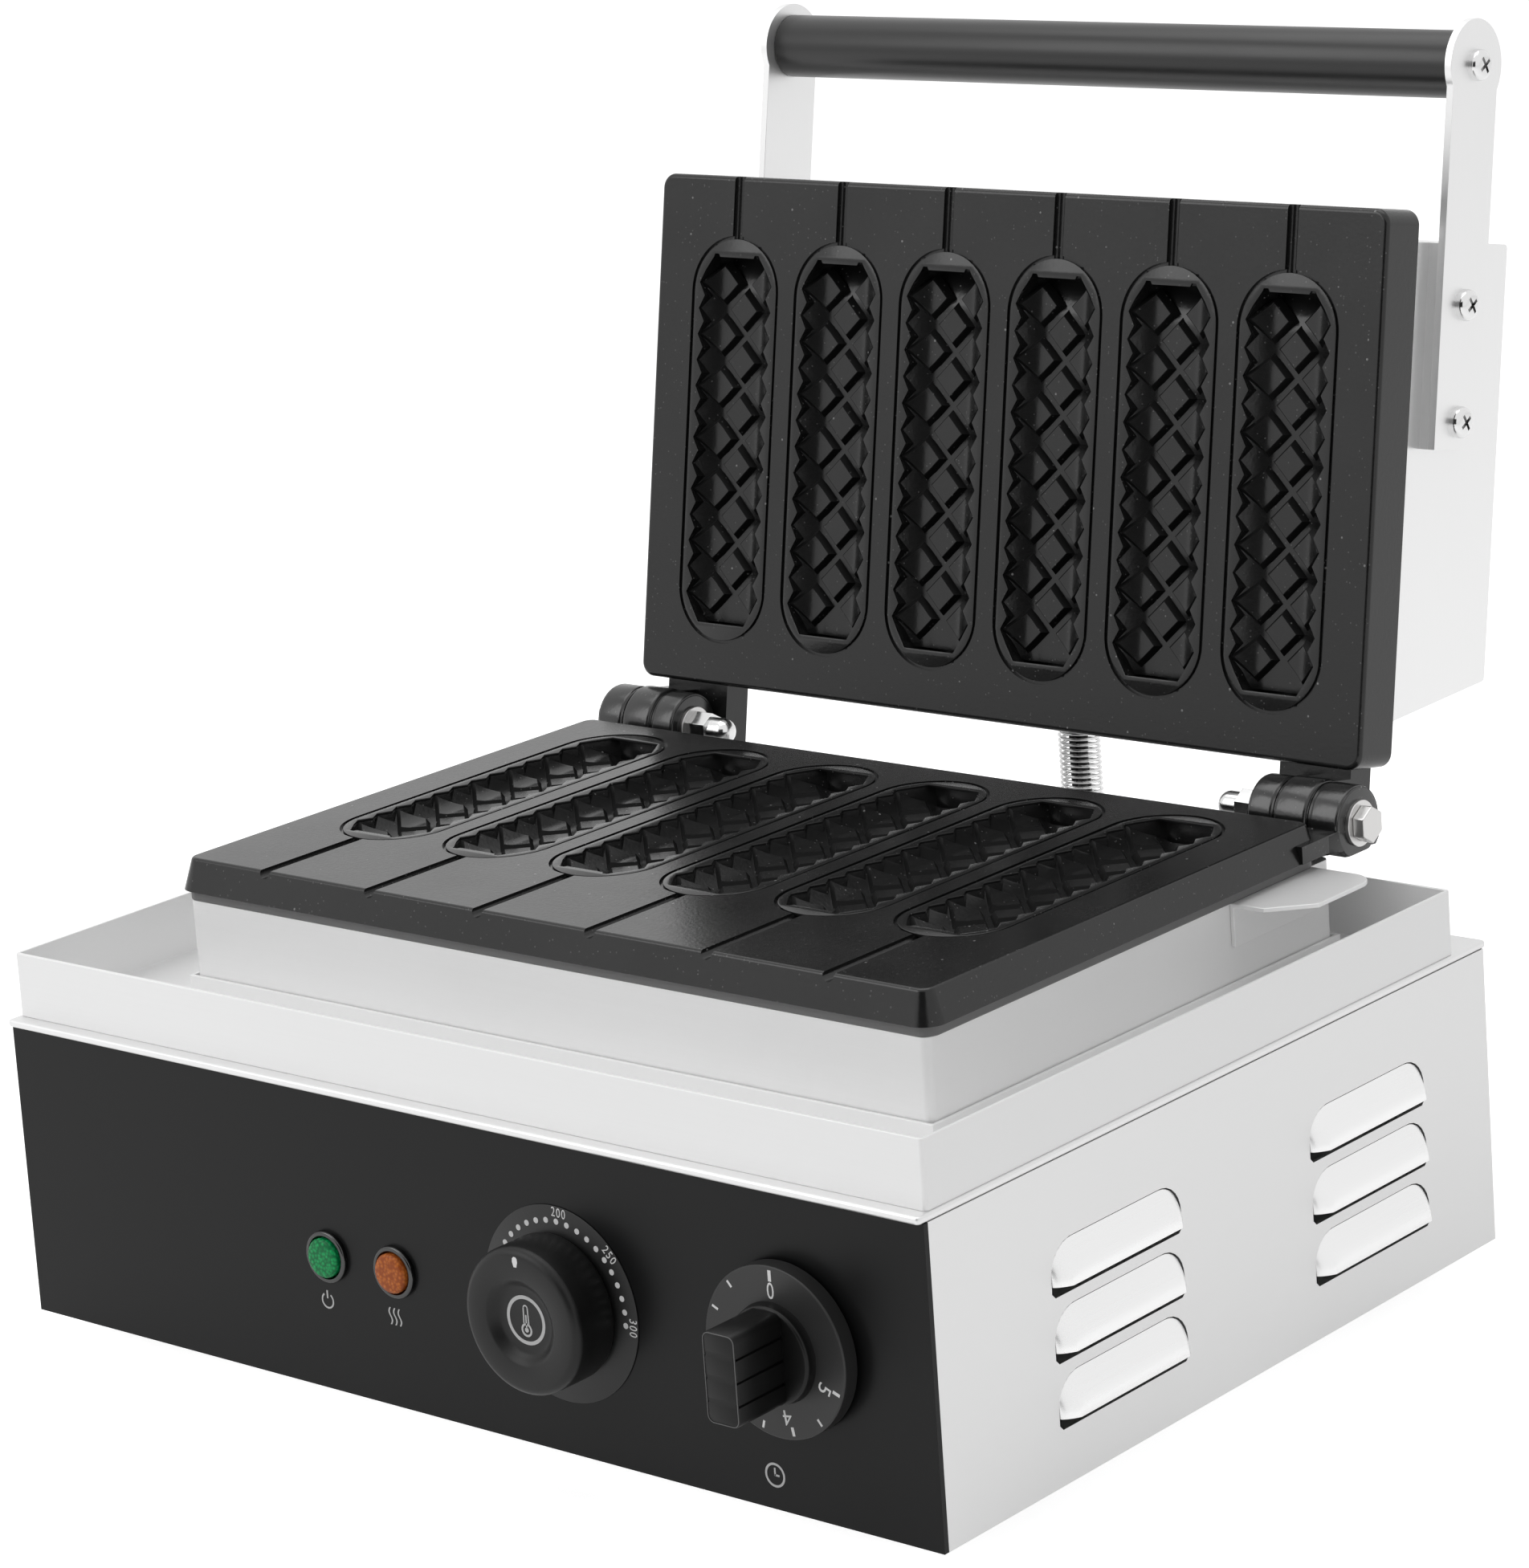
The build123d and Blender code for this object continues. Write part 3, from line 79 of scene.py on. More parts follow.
class Flow:
    """A number on its way through a node tree, so that shader maths reads as arithmetic."""

    def __init__(self, bench: "Bench", socket: bpy.types.NodeSocket) -> None:
        """Keeps the bench that makes nodes and the socket that holds the number."""
        self.bench = bench
        self.socket = socket

    def __add__(self, other: Feed) -> "Flow":
        """Returns the sum."""
        return self.bench.maths("ADD", self, other)

    def __sub__(self, other: Feed) -> "Flow":
        """Returns the difference."""
        return self.bench.maths("SUBTRACT", self, other)

    def __rsub__(self, other: Feed) -> "Flow":
        """Returns the difference from a plain number."""
        return self.bench.maths("SUBTRACT", other, self)

    def __mul__(self, other: Feed) -> "Flow":
        """Returns the product."""
        return self.bench.maths("MULTIPLY", self, other)

    def __lt__(self, other: Feed) -> "Flow":
        """Returns one where this is below the other, else nought."""
        return self.bench.maths("LESS_THAN", self, other)

    def held(self) -> "Flow":
        """Returns the number kept between nought and one."""
        return self.bench.maths("MINIMUM", self.bench.maths("MAXIMUM", self, 0.0), 1.0)


class Bench:
    """Makes and links the nodes of one tree."""

    def __init__(self, tree: bpy.types.NodeTree) -> None:
        """Starts from an empty tree."""
        self.tree = tree
        tree.nodes.clear()

    def add(self, kind: str, settings: dict | None = None, sockets: dict | None = None) -> bpy.types.Node:
        """Makes any node.

        Args:
            kind: The node's type.
            settings: Its own settings, set first.
            sockets: Values or links for its inputs, by name or number.

        Returns:
            The node.
        """
        node = self.tree.nodes.new(kind)
        for name, value in (settings or {}).items():
            setattr(node, name, value)
        for name, value in (sockets or {}).items():
            self.feed(node.inputs[name], value)
        return node

    def feed(self, socket: bpy.types.NodeSocket, value: Feed) -> None:
        """Links a flow or a socket into an input, or writes a plain value there."""
        if isinstance(value, (Flow, bpy.types.NodeSocket)):
            self.tree.links.new(value.socket if isinstance(value, Flow) else value, socket)
        elif isinstance(value, tuple) and socket.type == "RGBA":
            socket.default_value = (*value, 1.0)
        else:
            socket.default_value = value

    def maths(self, operation: str, *values: Feed) -> Flow:
        """Returns the result of a Math node."""
        return Flow(self, self.add("ShaderNodeMath", {"operation": operation}, dict(enumerate(values))).outputs[0])

    def place(self, stretch: Point) -> bpy.types.NodeSocket:
        """Returns object coordinates, stretched along each axis."""
        where = self.add("ShaderNodeTexCoord").outputs["Object"]
        return self.add("ShaderNodeMapping", None, {"Vector": where, "Scale": stretch}).outputs[0]

    def noise(self, stretch: Point, detail: float = 2.0) -> Flow:
        """Returns noise of about one half, by its waves per metre along each axis and its number of finer layers."""
        sockets = {"Vector": self.place(stretch), "Scale": 1.0, "Detail": detail, "Roughness": 0.55}
        return Flow(self, self.add("ShaderNodeTexNoise", None, sockets).outputs[0])

    def cells(self, per_metre: float) -> bpy.types.Node:
        """Returns a node that splits space into this many cells per metre."""
        where = self.place((per_metre,) * 3)
        return self.add("ShaderNodeTexVoronoi", {"feature": "F1"}, {"Vector": where, "Scale": 1.0})

    def specks(self, per_metre: float, size: float, share: float) -> Flow:
        """Returns sparse round specks.

        Args:
            per_metre: How many cells a metre holds.
            size: Radius of a speck, as a share of a cell.
            share: The share of cells that hold one.

        Returns:
            One in a speck, else nought.
        """
        cells = self.cells(per_metre)
        chance = self.add("ShaderNodeSeparateColor", None, {0: cells.outputs["Color"]})
        return (Flow(self, cells.outputs["Distance"]) < size) * (Flow(self, chance.outputs[0]) < share)

    def blend(self, share: Feed, low: Feed, high: Feed) -> bpy.types.NodeSocket:
        """Returns a colour between two."""
        settings = {"data_type": "RGBA", "blend_type": "MIX", "clamp_factor": True}
        return self.add("ShaderNodeMix", settings, {0: share, 6: low, 7: high}).outputs[2]

    def bump(self, height: Feed, depth: float) -> bpy.types.NodeSocket:
        """Returns a surface direction roughened by a height, at a depth in metres."""
        return self.add("ShaderNodeBump", None, {"Height": height, "Distance": depth}).outputs[0]

    def seen(self) -> tuple[Flow, Flow]:
        """Returns one where a ray comes from the camera, a shiny face or glass, and one for the camera alone."""
        path = self.add("ShaderNodeLightPath").outputs
        rays = [Flow(self, path[f"Is {kind} Ray"]) for kind in ("Camera", "Glossy", "Transmission")]
        return (rays[0] + rays[1] + rays[2]).held(), rays[0]


def blank(name: str) -> tuple[bpy.types.Material, Bench]:
    """Makes an empty material.

    Args:
        name: Its name.

    Returns:
        The material and its bench.
    """
    material = bpy.data.materials.new(name)
    material.use_nodes = True
    return material, Bench(material.node_tree)


class Finish:
    """What every finish shares: a material with one main shader."""

    def start(self, name: str, values: dict) -> tuple[bpy.types.Material, Bench, bpy.types.Node]:
        """Makes the material.

        Args:
            name: The material's name.
            values: Constant values and colours for the main shader's sockets.

        Returns:
            The material, its bench and its main shader.
        """
        material, bench = blank(name)
        main = bench.add("ShaderNodeBsdfPrincipled", None, values)
        bench.add("ShaderNodeOutputMaterial", None, {"Surface": main.outputs[0]})
        return material, bench, main

    def vary(self, bench: Bench, main: bpy.types.Node, **sockets: Feed) -> None:
        """Feeds what varies into the main shader: colour, roughness and normal."""
        for name, value in sockets.items():
            bench.feed(main.inputs[name.replace("_", " ").title()], value)


class Grain(Enum):
    """Which way sheet metal was brushed, as waves per metre along each axis."""

    ACROSS = (14.0, 2600.0, 2600.0)
    DEEP = (2600.0, 14.0, 2600.0)
    UPRIGHT = (2600.0, 2600.0, 14.0)
    NONE = (500.0, 500.0, 500.0)


@dataclass(frozen=True)
class Steel(Finish):
    """Bare stainless or plated steel."""

    name: str
    level: float
    roughness: float
    grain: Grain = Grain.NONE
    warmth: float = 0.0
    grain_depth: float = 0.000004
    metal: float = 1.0
    dulling: float = 0.93

    def make(self) -> bpy.types.Material:
        """Returns the material: brushed lines under faint clouds."""
        material, bench, main = self.start(self.name, {"Metallic": self.metal})
        lines = bench.noise(self.grain.value, 3.0)
        clouds = bench.noise((9.0, 9.0, 9.0), 3.0)
        dull = grey(self.level * self.dulling, self.warmth)
        self.vary(bench, main,
                  base_color=bench.blend(clouds * 0.6 + lines * 0.4, dull, grey(self.level, self.warmth)),
                  roughness=(lines - 0.5) * 0.12 + (clouds - 0.5) * 0.1 + self.roughness,
                  normal=bench.bump(lines, self.grain_depth))
        return material


@dataclass(frozen=True)
class CastCoat(Finish):
    """Cast aluminium under a black non-stick coat with fine pale specks."""

    name: str
    level: float = 0.008
    roughness: float = 0.23
    sheen: float = 0.45
    small_specks: Point = (900.0, 0.24, 0.09)
    large_specks: Point = (330.0, 0.13, 0.06)
    speck_level: float = 0.24
    peel_depth: float = 0.000035

    def make(self) -> bpy.types.Material:
        """Returns the material: orange-peel skin, specks of two sizes and handled, duller patches."""
        material, bench, main = self.start(self.name, {"Specular IOR Level": self.sheen})
        peel = bench.noise((900.0, 900.0, 900.0))
        patches = bench.noise((22.0, 22.0, 22.0), 3.0)
        specks = (bench.specks(*self.small_specks) * 0.3 + bench.specks(*self.large_specks) * 0.8).held()
        body = bench.blend(patches, grey(self.level * 0.75), grey(self.level * 1.3))
        self.vary(bench, main, base_color=bench.blend(specks, body, grey(self.speck_level)),
                  roughness=(patches - 0.5) * 0.16 + (peel - 0.5) * 0.1 + self.roughness,
                  normal=bench.bump(peel, self.peel_depth))
        return material


@dataclass(frozen=True)
class Moulding(Finish):
    """Plain coloured plastic, rubber, paint or enamel."""

    name: str
    colour: Colour
    roughness: float = 0.5
    sheen: float = 0.5
    coat: float = 0.0
    grain_per_metre: float = 1500.0
    grain_depth: float = 0.00001
    mottle: float = 0.12

    def make(self) -> bpy.types.Material:
        """Returns the material: a fine grain, with faint clouds in its colour and sheen."""
        values = {"Coat Weight": self.coat, "Coat Roughness": 0.12, "Specular IOR Level": self.sheen}
        material, bench, main = self.start(self.name, values)
        fine = bench.noise((self.grain_per_metre,) * 3)
        clouds = bench.noise((30.0, 30.0, 30.0), 3.0)
        dark, light = (tuple(part * share for part in self.colour) for share in (1 - self.mottle, 1 + self.mottle))
        self.vary(bench, main, base_color=bench.blend(clouds, dark, light),
                  roughness=(clouds - 0.5) * 0.1 + (fine - 0.5) * 0.08 + self.roughness,
                  normal=bench.bump(fine, self.grain_depth))
        return material


@dataclass(frozen=True)
class LampGlass(Finish):
    """Coloured prismatic plastic over a lamp."""

    name: str
    deep: Colour
    # The lighter colour of the cell middles: painted highlight where the facets catch light.
    glow: Colour
    cells_per_metre: float = 900.0
    relief: float = 0.0001

    def make(self) -> bpy.types.Material:
        """Returns the material: a darker body with lighter cell middles, which are painted highlights of light caught
        in the prism's facets.
        """
        values = {"Roughness": 0.25, "Coat Weight": 0.08, "Coat Roughness": 0.08, "Specular IOR Level": 0.15}
        material, bench, main = self.start(self.name, values)
        cells = bench.cells(self.cells_per_metre)
        # Lighter towards each cell's middle: painted highlight.
        inner = 1.0 - (Flow(bench, cells.outputs["Distance"]) * 1.5).held()
        self.vary(bench, main, base_color=bench.blend(inner, self.deep, self.glow),
                  normal=bench.bump(inner, self.relief))
        return material


@dataclass(frozen=True)
class Wool(Finish):
    """Mineral wool pad."""

    name: str
    dark: Colour = (0.62, 0.58, 0.5)
    light: Colour = (0.86, 0.84, 0.78)
    relief: float = 0.0006

    def make(self) -> bpy.types.Material:
        """Returns the material: pale matted fibres."""
        material, bench, main = self.start(self.name, {"Roughness": 0.95})
        fibres = bench.noise((700.0, 260.0, 900.0), 6.0)
        self.vary(bench, main, base_color=bench.blend(fibres, self.dark, self.light),
                  normal=bench.bump(fibres, self.relief))
        return material


class Finishes:
    """The finishes of this cooker, each made once."""

    def __init__(self) -> None:
        """Makes every material."""
        self.steel_across = Steel("satin_steel_across", 0.83, 0.38, Grain.ACROSS, metal=0.75).make()
        # The side walls' steel is a darker level than the cover's: painted shade on the sides.
        self.steel_shaded_side = Steel("satin_steel_shaded_side", 0.71, 0.34, Grain.DEEP, metal=0.9).make()
        self.steel_soft = Steel("soft_brushed_steel", 0.93, 0.45, Grain.ACROSS, metal=0.3).make()
        # The louvres' steel is a lighter level than the wall they are pressed from: painted highlight.
        self.steel_highlit_louvres = Steel("pressed_steel_highlit", 0.87, 0.28, Grain.DEEP).make()
        self.steel_upright = Steel("satin_steel_upright", 0.9, 0.34, Grain.UPRIGHT, metal=0.85).make()
        self.bright = Steel("bright_plated_steel", 0.78, 0.16).make()
        self.zinc = Steel("zinc_plated_steel", 0.66, 0.34, warmth=0.02).make()
        self.oxidised = Steel("oxidised_element", 0.2, 0.5, warmth=0.12, grain_depth=0.00002).make()
        self.copper = Steel("copper_tube", 0.5, 0.3, warmth=0.7).make()
        # Painted reflection: the lamp rings are bright steel given a very dark level, standing in for the dark room
        # they reflect.
        self.bezel = Steel("lamp_ring_painted_reflection", 0.08, 0.2).make()
        self.cast = CastCoat("coated_casting").make()
        # Painted shade: a darker, duller coat for the diamonds' flanks, the shade in the hollows between them.
        self.recess = CastCoat("matt_painted_shade_coat", 0.004, 0.5, 0.15).make()
        self.knuckle = CastCoat("worn_knuckle_coat", 0.011, 0.2, 0.7).make()
        self.panel = Moulding("charcoal_panel_paint", grey(0.006, -0.05), 0.32, 0.18, grain_per_metre=2200.0,
                              grain_depth=0.000006).make()
        self.grip = Moulding("glossy_black_grip", grey(0.004), 0.33, 0.55, grain_per_metre=1800.0,
                             grain_depth=0.000004).make()
        self.rubber = Moulding("black_rubber", grey(0.018), 0.7, grain_per_metre=800.0, grain_depth=0.00004).make()
        self.ceramic = Moulding("white_ceramic", (0.82, 0.8, 0.75), 0.25, coat=0.3).make()
        self.dial = Moulding("black_dial_print", grey(0.009), 0.42, 0.4).make()
        self.knob = Moulding("satin_black_knob", grey(0.006), 0.4, 0.32).make()
        self.knob_face = Moulding("satin_timer_dial", grey(0.022), 0.4, 0.4).make()
        self.wing = Moulding("dark_timer_wing", grey(0.004), 0.36, 0.25).make()
        # Painted highlight: a light line round the wing's front, where its rounded edge catches the light.
        self.edge_highlight = Moulding("painted_highlight_edge", grey(0.11), 0.35).make()
        self.plastic = Moulding("black_plastic", grey(0.02), 0.45).make()
        self.cable = Moulding("black_wire_cover", grey(0.02)).make()
        self.seal = Moulding("grey_seal", grey(0.14)).make()
        self.ink = Moulding("white_dial_ink", grey(0.78)).make()
        self.soft_ink = Moulding("grey_panel_ink", grey(0.5)).make()
        self.wool = Wool("mineral_wool").make()
        self.green = LampGlass("green_prism", (0.0, 0.15, 0.045), (0.01, 0.46, 0.13)).make()
        self.amber = LampGlass("amber_prism", (0.32, 0.07, 0.012), (0.62, 0.18, 0.03)).make()


class Body(Enum):
    """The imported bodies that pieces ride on."""

    BASE = "base"
    LID = "lid"
    THERMOSTAT = "thermostat_dial"
    TIMER = "timer_dial"


def body_of_node(node: str) -> Body:
    """Returns the body that holds a CAD node."""
    bodies = frame["record"]["behaviour"]["bodies"]
    return next(body for body in Body if node in bodies[body.value])


def at(x: float, y: float, z: float) -> Matrix:
    """Returns a move to a place in millimetres."""
    return Matrix.Translation((x * MM, y * MM, z * MM))


def facing(x: float, y: float, z: float) -> Matrix:
    """Returns the place of something that lies in a flat drawing and faces the front, in millimetres."""
    return at(x, y, z) @ Matrix.Rotation(math.pi / 2, 4, "X")


def outward(x: float, y: float, z: float) -> Matrix:
    """Returns the place of something that stands up out of the right-hand side, in millimetres."""
    return at(x, y, z) @ Matrix.Rotation(math.pi / 2, 4, "Y")


def clockwise(degrees: float) -> Matrix:
    """Returns a turn in the flat of a drawing."""
    return Matrix.Rotation(-math.radians(degrees), 4, "Z")


def axes(x: Point, y: Point, z: Point) -> Matrix:
    """Returns the turn that lays a drawing's three axes along these directions."""
    return Matrix((x, y, z)).transposed().to_4x4()


def shaded(mesh: bpy.types.Mesh, smooth_below: float = SMOOTH) -> bpy.types.Mesh:
    """Shades a mesh smooth except at its sharp edges.

    Args:
        mesh: The mesh.
        smooth_below: Edges that turn less than this many degrees are shaded smooth.

    Returns:
        The same mesh.
    """
    mesh.shade_smooth()
    mesh.set_sharp_from_angle(angle=math.radians(smooth_below))
    return mesh


def meshed(shape: bmesh.types.BMesh, name: str, smooth_below: float = SMOOTH) -> bpy.types.Mesh:
    """Turns worked geometry, which is freed, into a shaded mesh.

    Args:
        shape: The geometry.
        name: The mesh's name.
        smooth_below: Edges that turn less than this many degrees are shaded smooth.

    Returns:
        The mesh.
    """
    mesh = bpy.data.meshes.new(name)
    shape.to_mesh(mesh)
    shape.free()
    return shaded(mesh, smooth_below)


def skin(shape: bmesh.types.BMesh, rows: Sequence[Sequence[bmesh.types.BMVert]], turned_over: bool = False) -> None:
    """Spans a grid of points with faces.

    Args:
        shape: The geometry that holds the points and takes the faces.
        rows: The points, row by row.
        turned_over: Whether the faces look the other way.
    """
    for near, far in zip(rows, rows[1:]):
        for step in range(len(near) - 1):
            corners = [near[step], far[step], far[step + 1], near[step + 1]]
            shape.faces.new(corners[:1] + corners[:0:-1] if turned_over else corners)


def drawn(shape: bmesh.types.BMesh, name: str, smooth_below: float = SMOOTH) -> bpy.types.Mesh:
    """Welds worked geometry and turns its faces outwards.

    Args:
        shape: The geometry, which is freed.
        name: The mesh's name.
        smooth_below: Edges that turn less than this many degrees are shaded smooth.

    Returns:
        The shaded mesh.
    """
    bmesh.ops.remove_doubles(shape, verts=shape.verts, dist=1e-7)
    bmesh.ops.recalc_face_normals(shape, faces=shape.faces)
    return meshed(shape, name, smooth_below)


def joined(name: str, meshes: Sequence[bpy.types.Mesh], smooth_below: float = SMOOTH) -> bpy.types.Mesh:
    """Puts several meshes into one.

    Args:
        name: The new mesh's name.
        meshes: The meshes, which are dropped.
        smooth_below: Edges that turn less than this many degrees are shaded smooth.

    Returns:
        The one mesh.
    """
    shape = bmesh.new()
    for mesh in meshes:
        shape.from_mesh(mesh)
        bpy.data.meshes.remove(mesh)
    return meshed(shape, name, smooth_below)


def mirrored(mesh: bpy.types.Mesh, both: bool = True) -> bpy.types.Mesh:
    """Copies a mesh to the other side.

    Args:
        mesh: The right-hand mesh.
        both: Whether the result holds it too, and it is dropped.

    Returns:
        Both sides as one mesh, or the left-hand one alone.
    """
    shape = bmesh.new()
    other = mesh.copy()
    other.transform(Matrix.Scale(-1, 4, (1, 0, 0)))
    other.flip_normals()
    if both:
        shape.from_mesh(mesh)
    shape.from_mesh(other)
    result = meshed(shape, mesh.name + "_pair")
    bpy.data.meshes.remove(other)
    if both:
        bpy.data.meshes.remove(mesh)
    return result


def lathe(name: str, outline: Line, sides: int = 96) -> bpy.types.Mesh:
    """Turns an outline round the upright axis.

    Args:
        name: The mesh's name.
        outline: Radius and height in millimetres, from the bottom's centre to the top's, or round a bore.
        sides: How many facets go round.

    Returns:
        A closed mesh.
    """
    shape = bmesh.new()
    rings = []
    for radius, height in outline:
        turns = [2 * math.pi * step / sides for step in range(sides if radius else 1)]
        rings.append([shape.verts.new((radius * math.cos(turn) * MM, radius * math.sin(turn) * MM, height * MM))
                      for turn in turns])
    if len(rings[0]) > 1:
        rings.append(rings[0])
    for low, high in zip(rings, rings[1:]):
        for step in range(sides):
            corners = (low[step % len(low)], low[(step + 1) % len(low)], high[(step + 1) % len(high)],
                       high[step % len(high)])
            shape.faces.new(list(dict.fromkeys(corners)))
    return drawn(shape, name)


def bend(x: float, y: float, radius: float, start: float, end: float, steps: int = 5) -> list[tuple[float, float]]:
    """Returns an arc of this many runs about a centre, from one angle in degrees, nought towards x, to another."""
    angles = [math.radians(start + (end - start) * step / steps) for step in range(steps + 1)]
    return [(x + radius * math.cos(angle), y + radius * math.sin(angle)) for angle in angles]


def tube(bore: float, radius: float, long: float, edge: float) -> list[tuple[float, float]]:
    """Returns the outline of a tube with rounded ends, which stands on nought."""
    return [(bore, 0.0)] + bend(radius - edge, edge, edge, -90, 0) + bend(
        radius - edge, long - edge, edge, 0, 90) + [(bore, long)]


def rounded(width: float, height: float, radius: float) -> list[tuple[float, float]]:
    """Draws a rectangle with rounded corners, centred, in millimetres.

    Args:
        width: Its width.
        height: Its height.
        radius: The radius of its corners.

    Returns:
        Its outline.
    """
    points = []
    for turn, (side_x, side_y) in enumerate(((1, 1), (-1, 1), (-1, -1), (1, -1))):
        points += bend(side_x * (width / 2 - radius), side_y * (height / 2 - radius), radius, 90 * turn,
                       90 * turn + 90, 6)
    return points


def circle(radius: float, steps: int) -> list[tuple[float, float]]:
    """Returns a circle's points, in millimetres."""
    return bend(0, 0, radius, 0, 360, steps)[:-1]


def bar(x0: float, y0: float, x1: float, y1: float, width: float) -> list[tuple[float, float]]:
    """Draws a straight stroke, in millimetres.

    Args:
        x0: Its start across.
        y0: Its start upwards.
        x1: Its end across.
        y1: Its end upwards.
        width: Its width.

    Returns:
        Its outline.
    """
    run = Vector((x1 - x0, y1 - y0))
    side = Vector((-run.y, run.x)).normalized() * width / 2
    return [(x0 + side.x, y0 + side.y), (x0 - side.x, y0 - side.y), (x1 - side.x, y1 - side.y),
            (x1 + side.x, y1 + side.y)]


def evaluated(name: str, data: bpy.types.ID, ready: Callable[[bpy.types.Object], None] | None = None
              ) -> bpy.types.Mesh:
    """Turns a curve, a text or a mesh with modifiers into a plain mesh.

    Args:
        name: The new mesh's name.
        data: What is turned, which is dropped with its object.
        ready: Adds modifiers to the object first.

    Returns:
        The plain mesh.
    """
    holder = bpy.data.objects.new(name + "_draft", data)
    bpy.context.scene.collection.objects.link(holder)
    if ready:
        ready(holder)
    graph = bpy.context.evaluated_depsgraph_get()
    mesh = bpy.data.meshes.new_from_object(holder.evaluated_get(graph))
    mesh.name = name
    kind = data.bl_rna.identifier
    bpy.data.objects.remove(holder)
    (bpy.data.meshes if kind == "Mesh" else bpy.data.curves).remove(data)
    return mesh


def plate_of(name: str, outlines: Sequence[Line], thick: float, edge: float = 0.0) -> bpy.types.Mesh:
    """Cuts a flat plate with holes and broken edges.

    Args:
        name: The mesh's name.
        outlines: The outer line and then the holes, in millimetres.
        thick: Its thickness, from nought upwards.
        edge: How far its edges are rounded.

    Returns:
        A closed mesh.
    """
    curve = bpy.data.curves.new(name, "CURVE")
    curve.dimensions = "2D"
    curve.fill_mode = "BOTH"
    curve.extrude = (thick / 2 - edge) * MM
    curve.bevel_depth = edge * MM
    curve.bevel_resolution = 1
    curve.offset = -edge * MM
    for outline in outlines:
        spline = curve.splines.new("POLY")
        spline.points.add(len(outline) - 1)
        for point, (x, y) in zip(spline.points, outline):
            point.co = (x * MM, y * MM, 0, 1)
        spline.use_cyclic_u = True
    mesh = evaluated(name, curve)
    mesh.transform(at(0, 0, thick / 2))
    shape = bmesh.new()
    shape.from_mesh(mesh)
    bpy.data.meshes.remove(mesh)
    return drawn(shape, name)


def lettering(words: str, height: float, thick: float, wide: float) -> bpy.types.Mesh:
    """Writes plain figures that stand on the drawing's flat, centred.

    Args:
        words: The figures.
        height: Their height in millimetres.
        thick: Their thickness.
        wide: How wide they are, as a share of the plain width.

    Returns:
        A closed mesh.
    """
    text = bpy.data.curves.new("figures", "FONT")
    text.body = words
    figure_share = 0.7
    text.size = height * MM / figure_share
    text.align_x = "CENTER"
    text.align_y = "CENTER"
    text.space_character = 1.2
    text.extrude = thick / 2 * MM
    text.resolution_u = 3
    mesh = evaluated("figures", text)
    mesh.transform(at(0, 0, thick / 2) @ Matrix.Diagonal((wide, 1, 1, 1)))
    return mesh


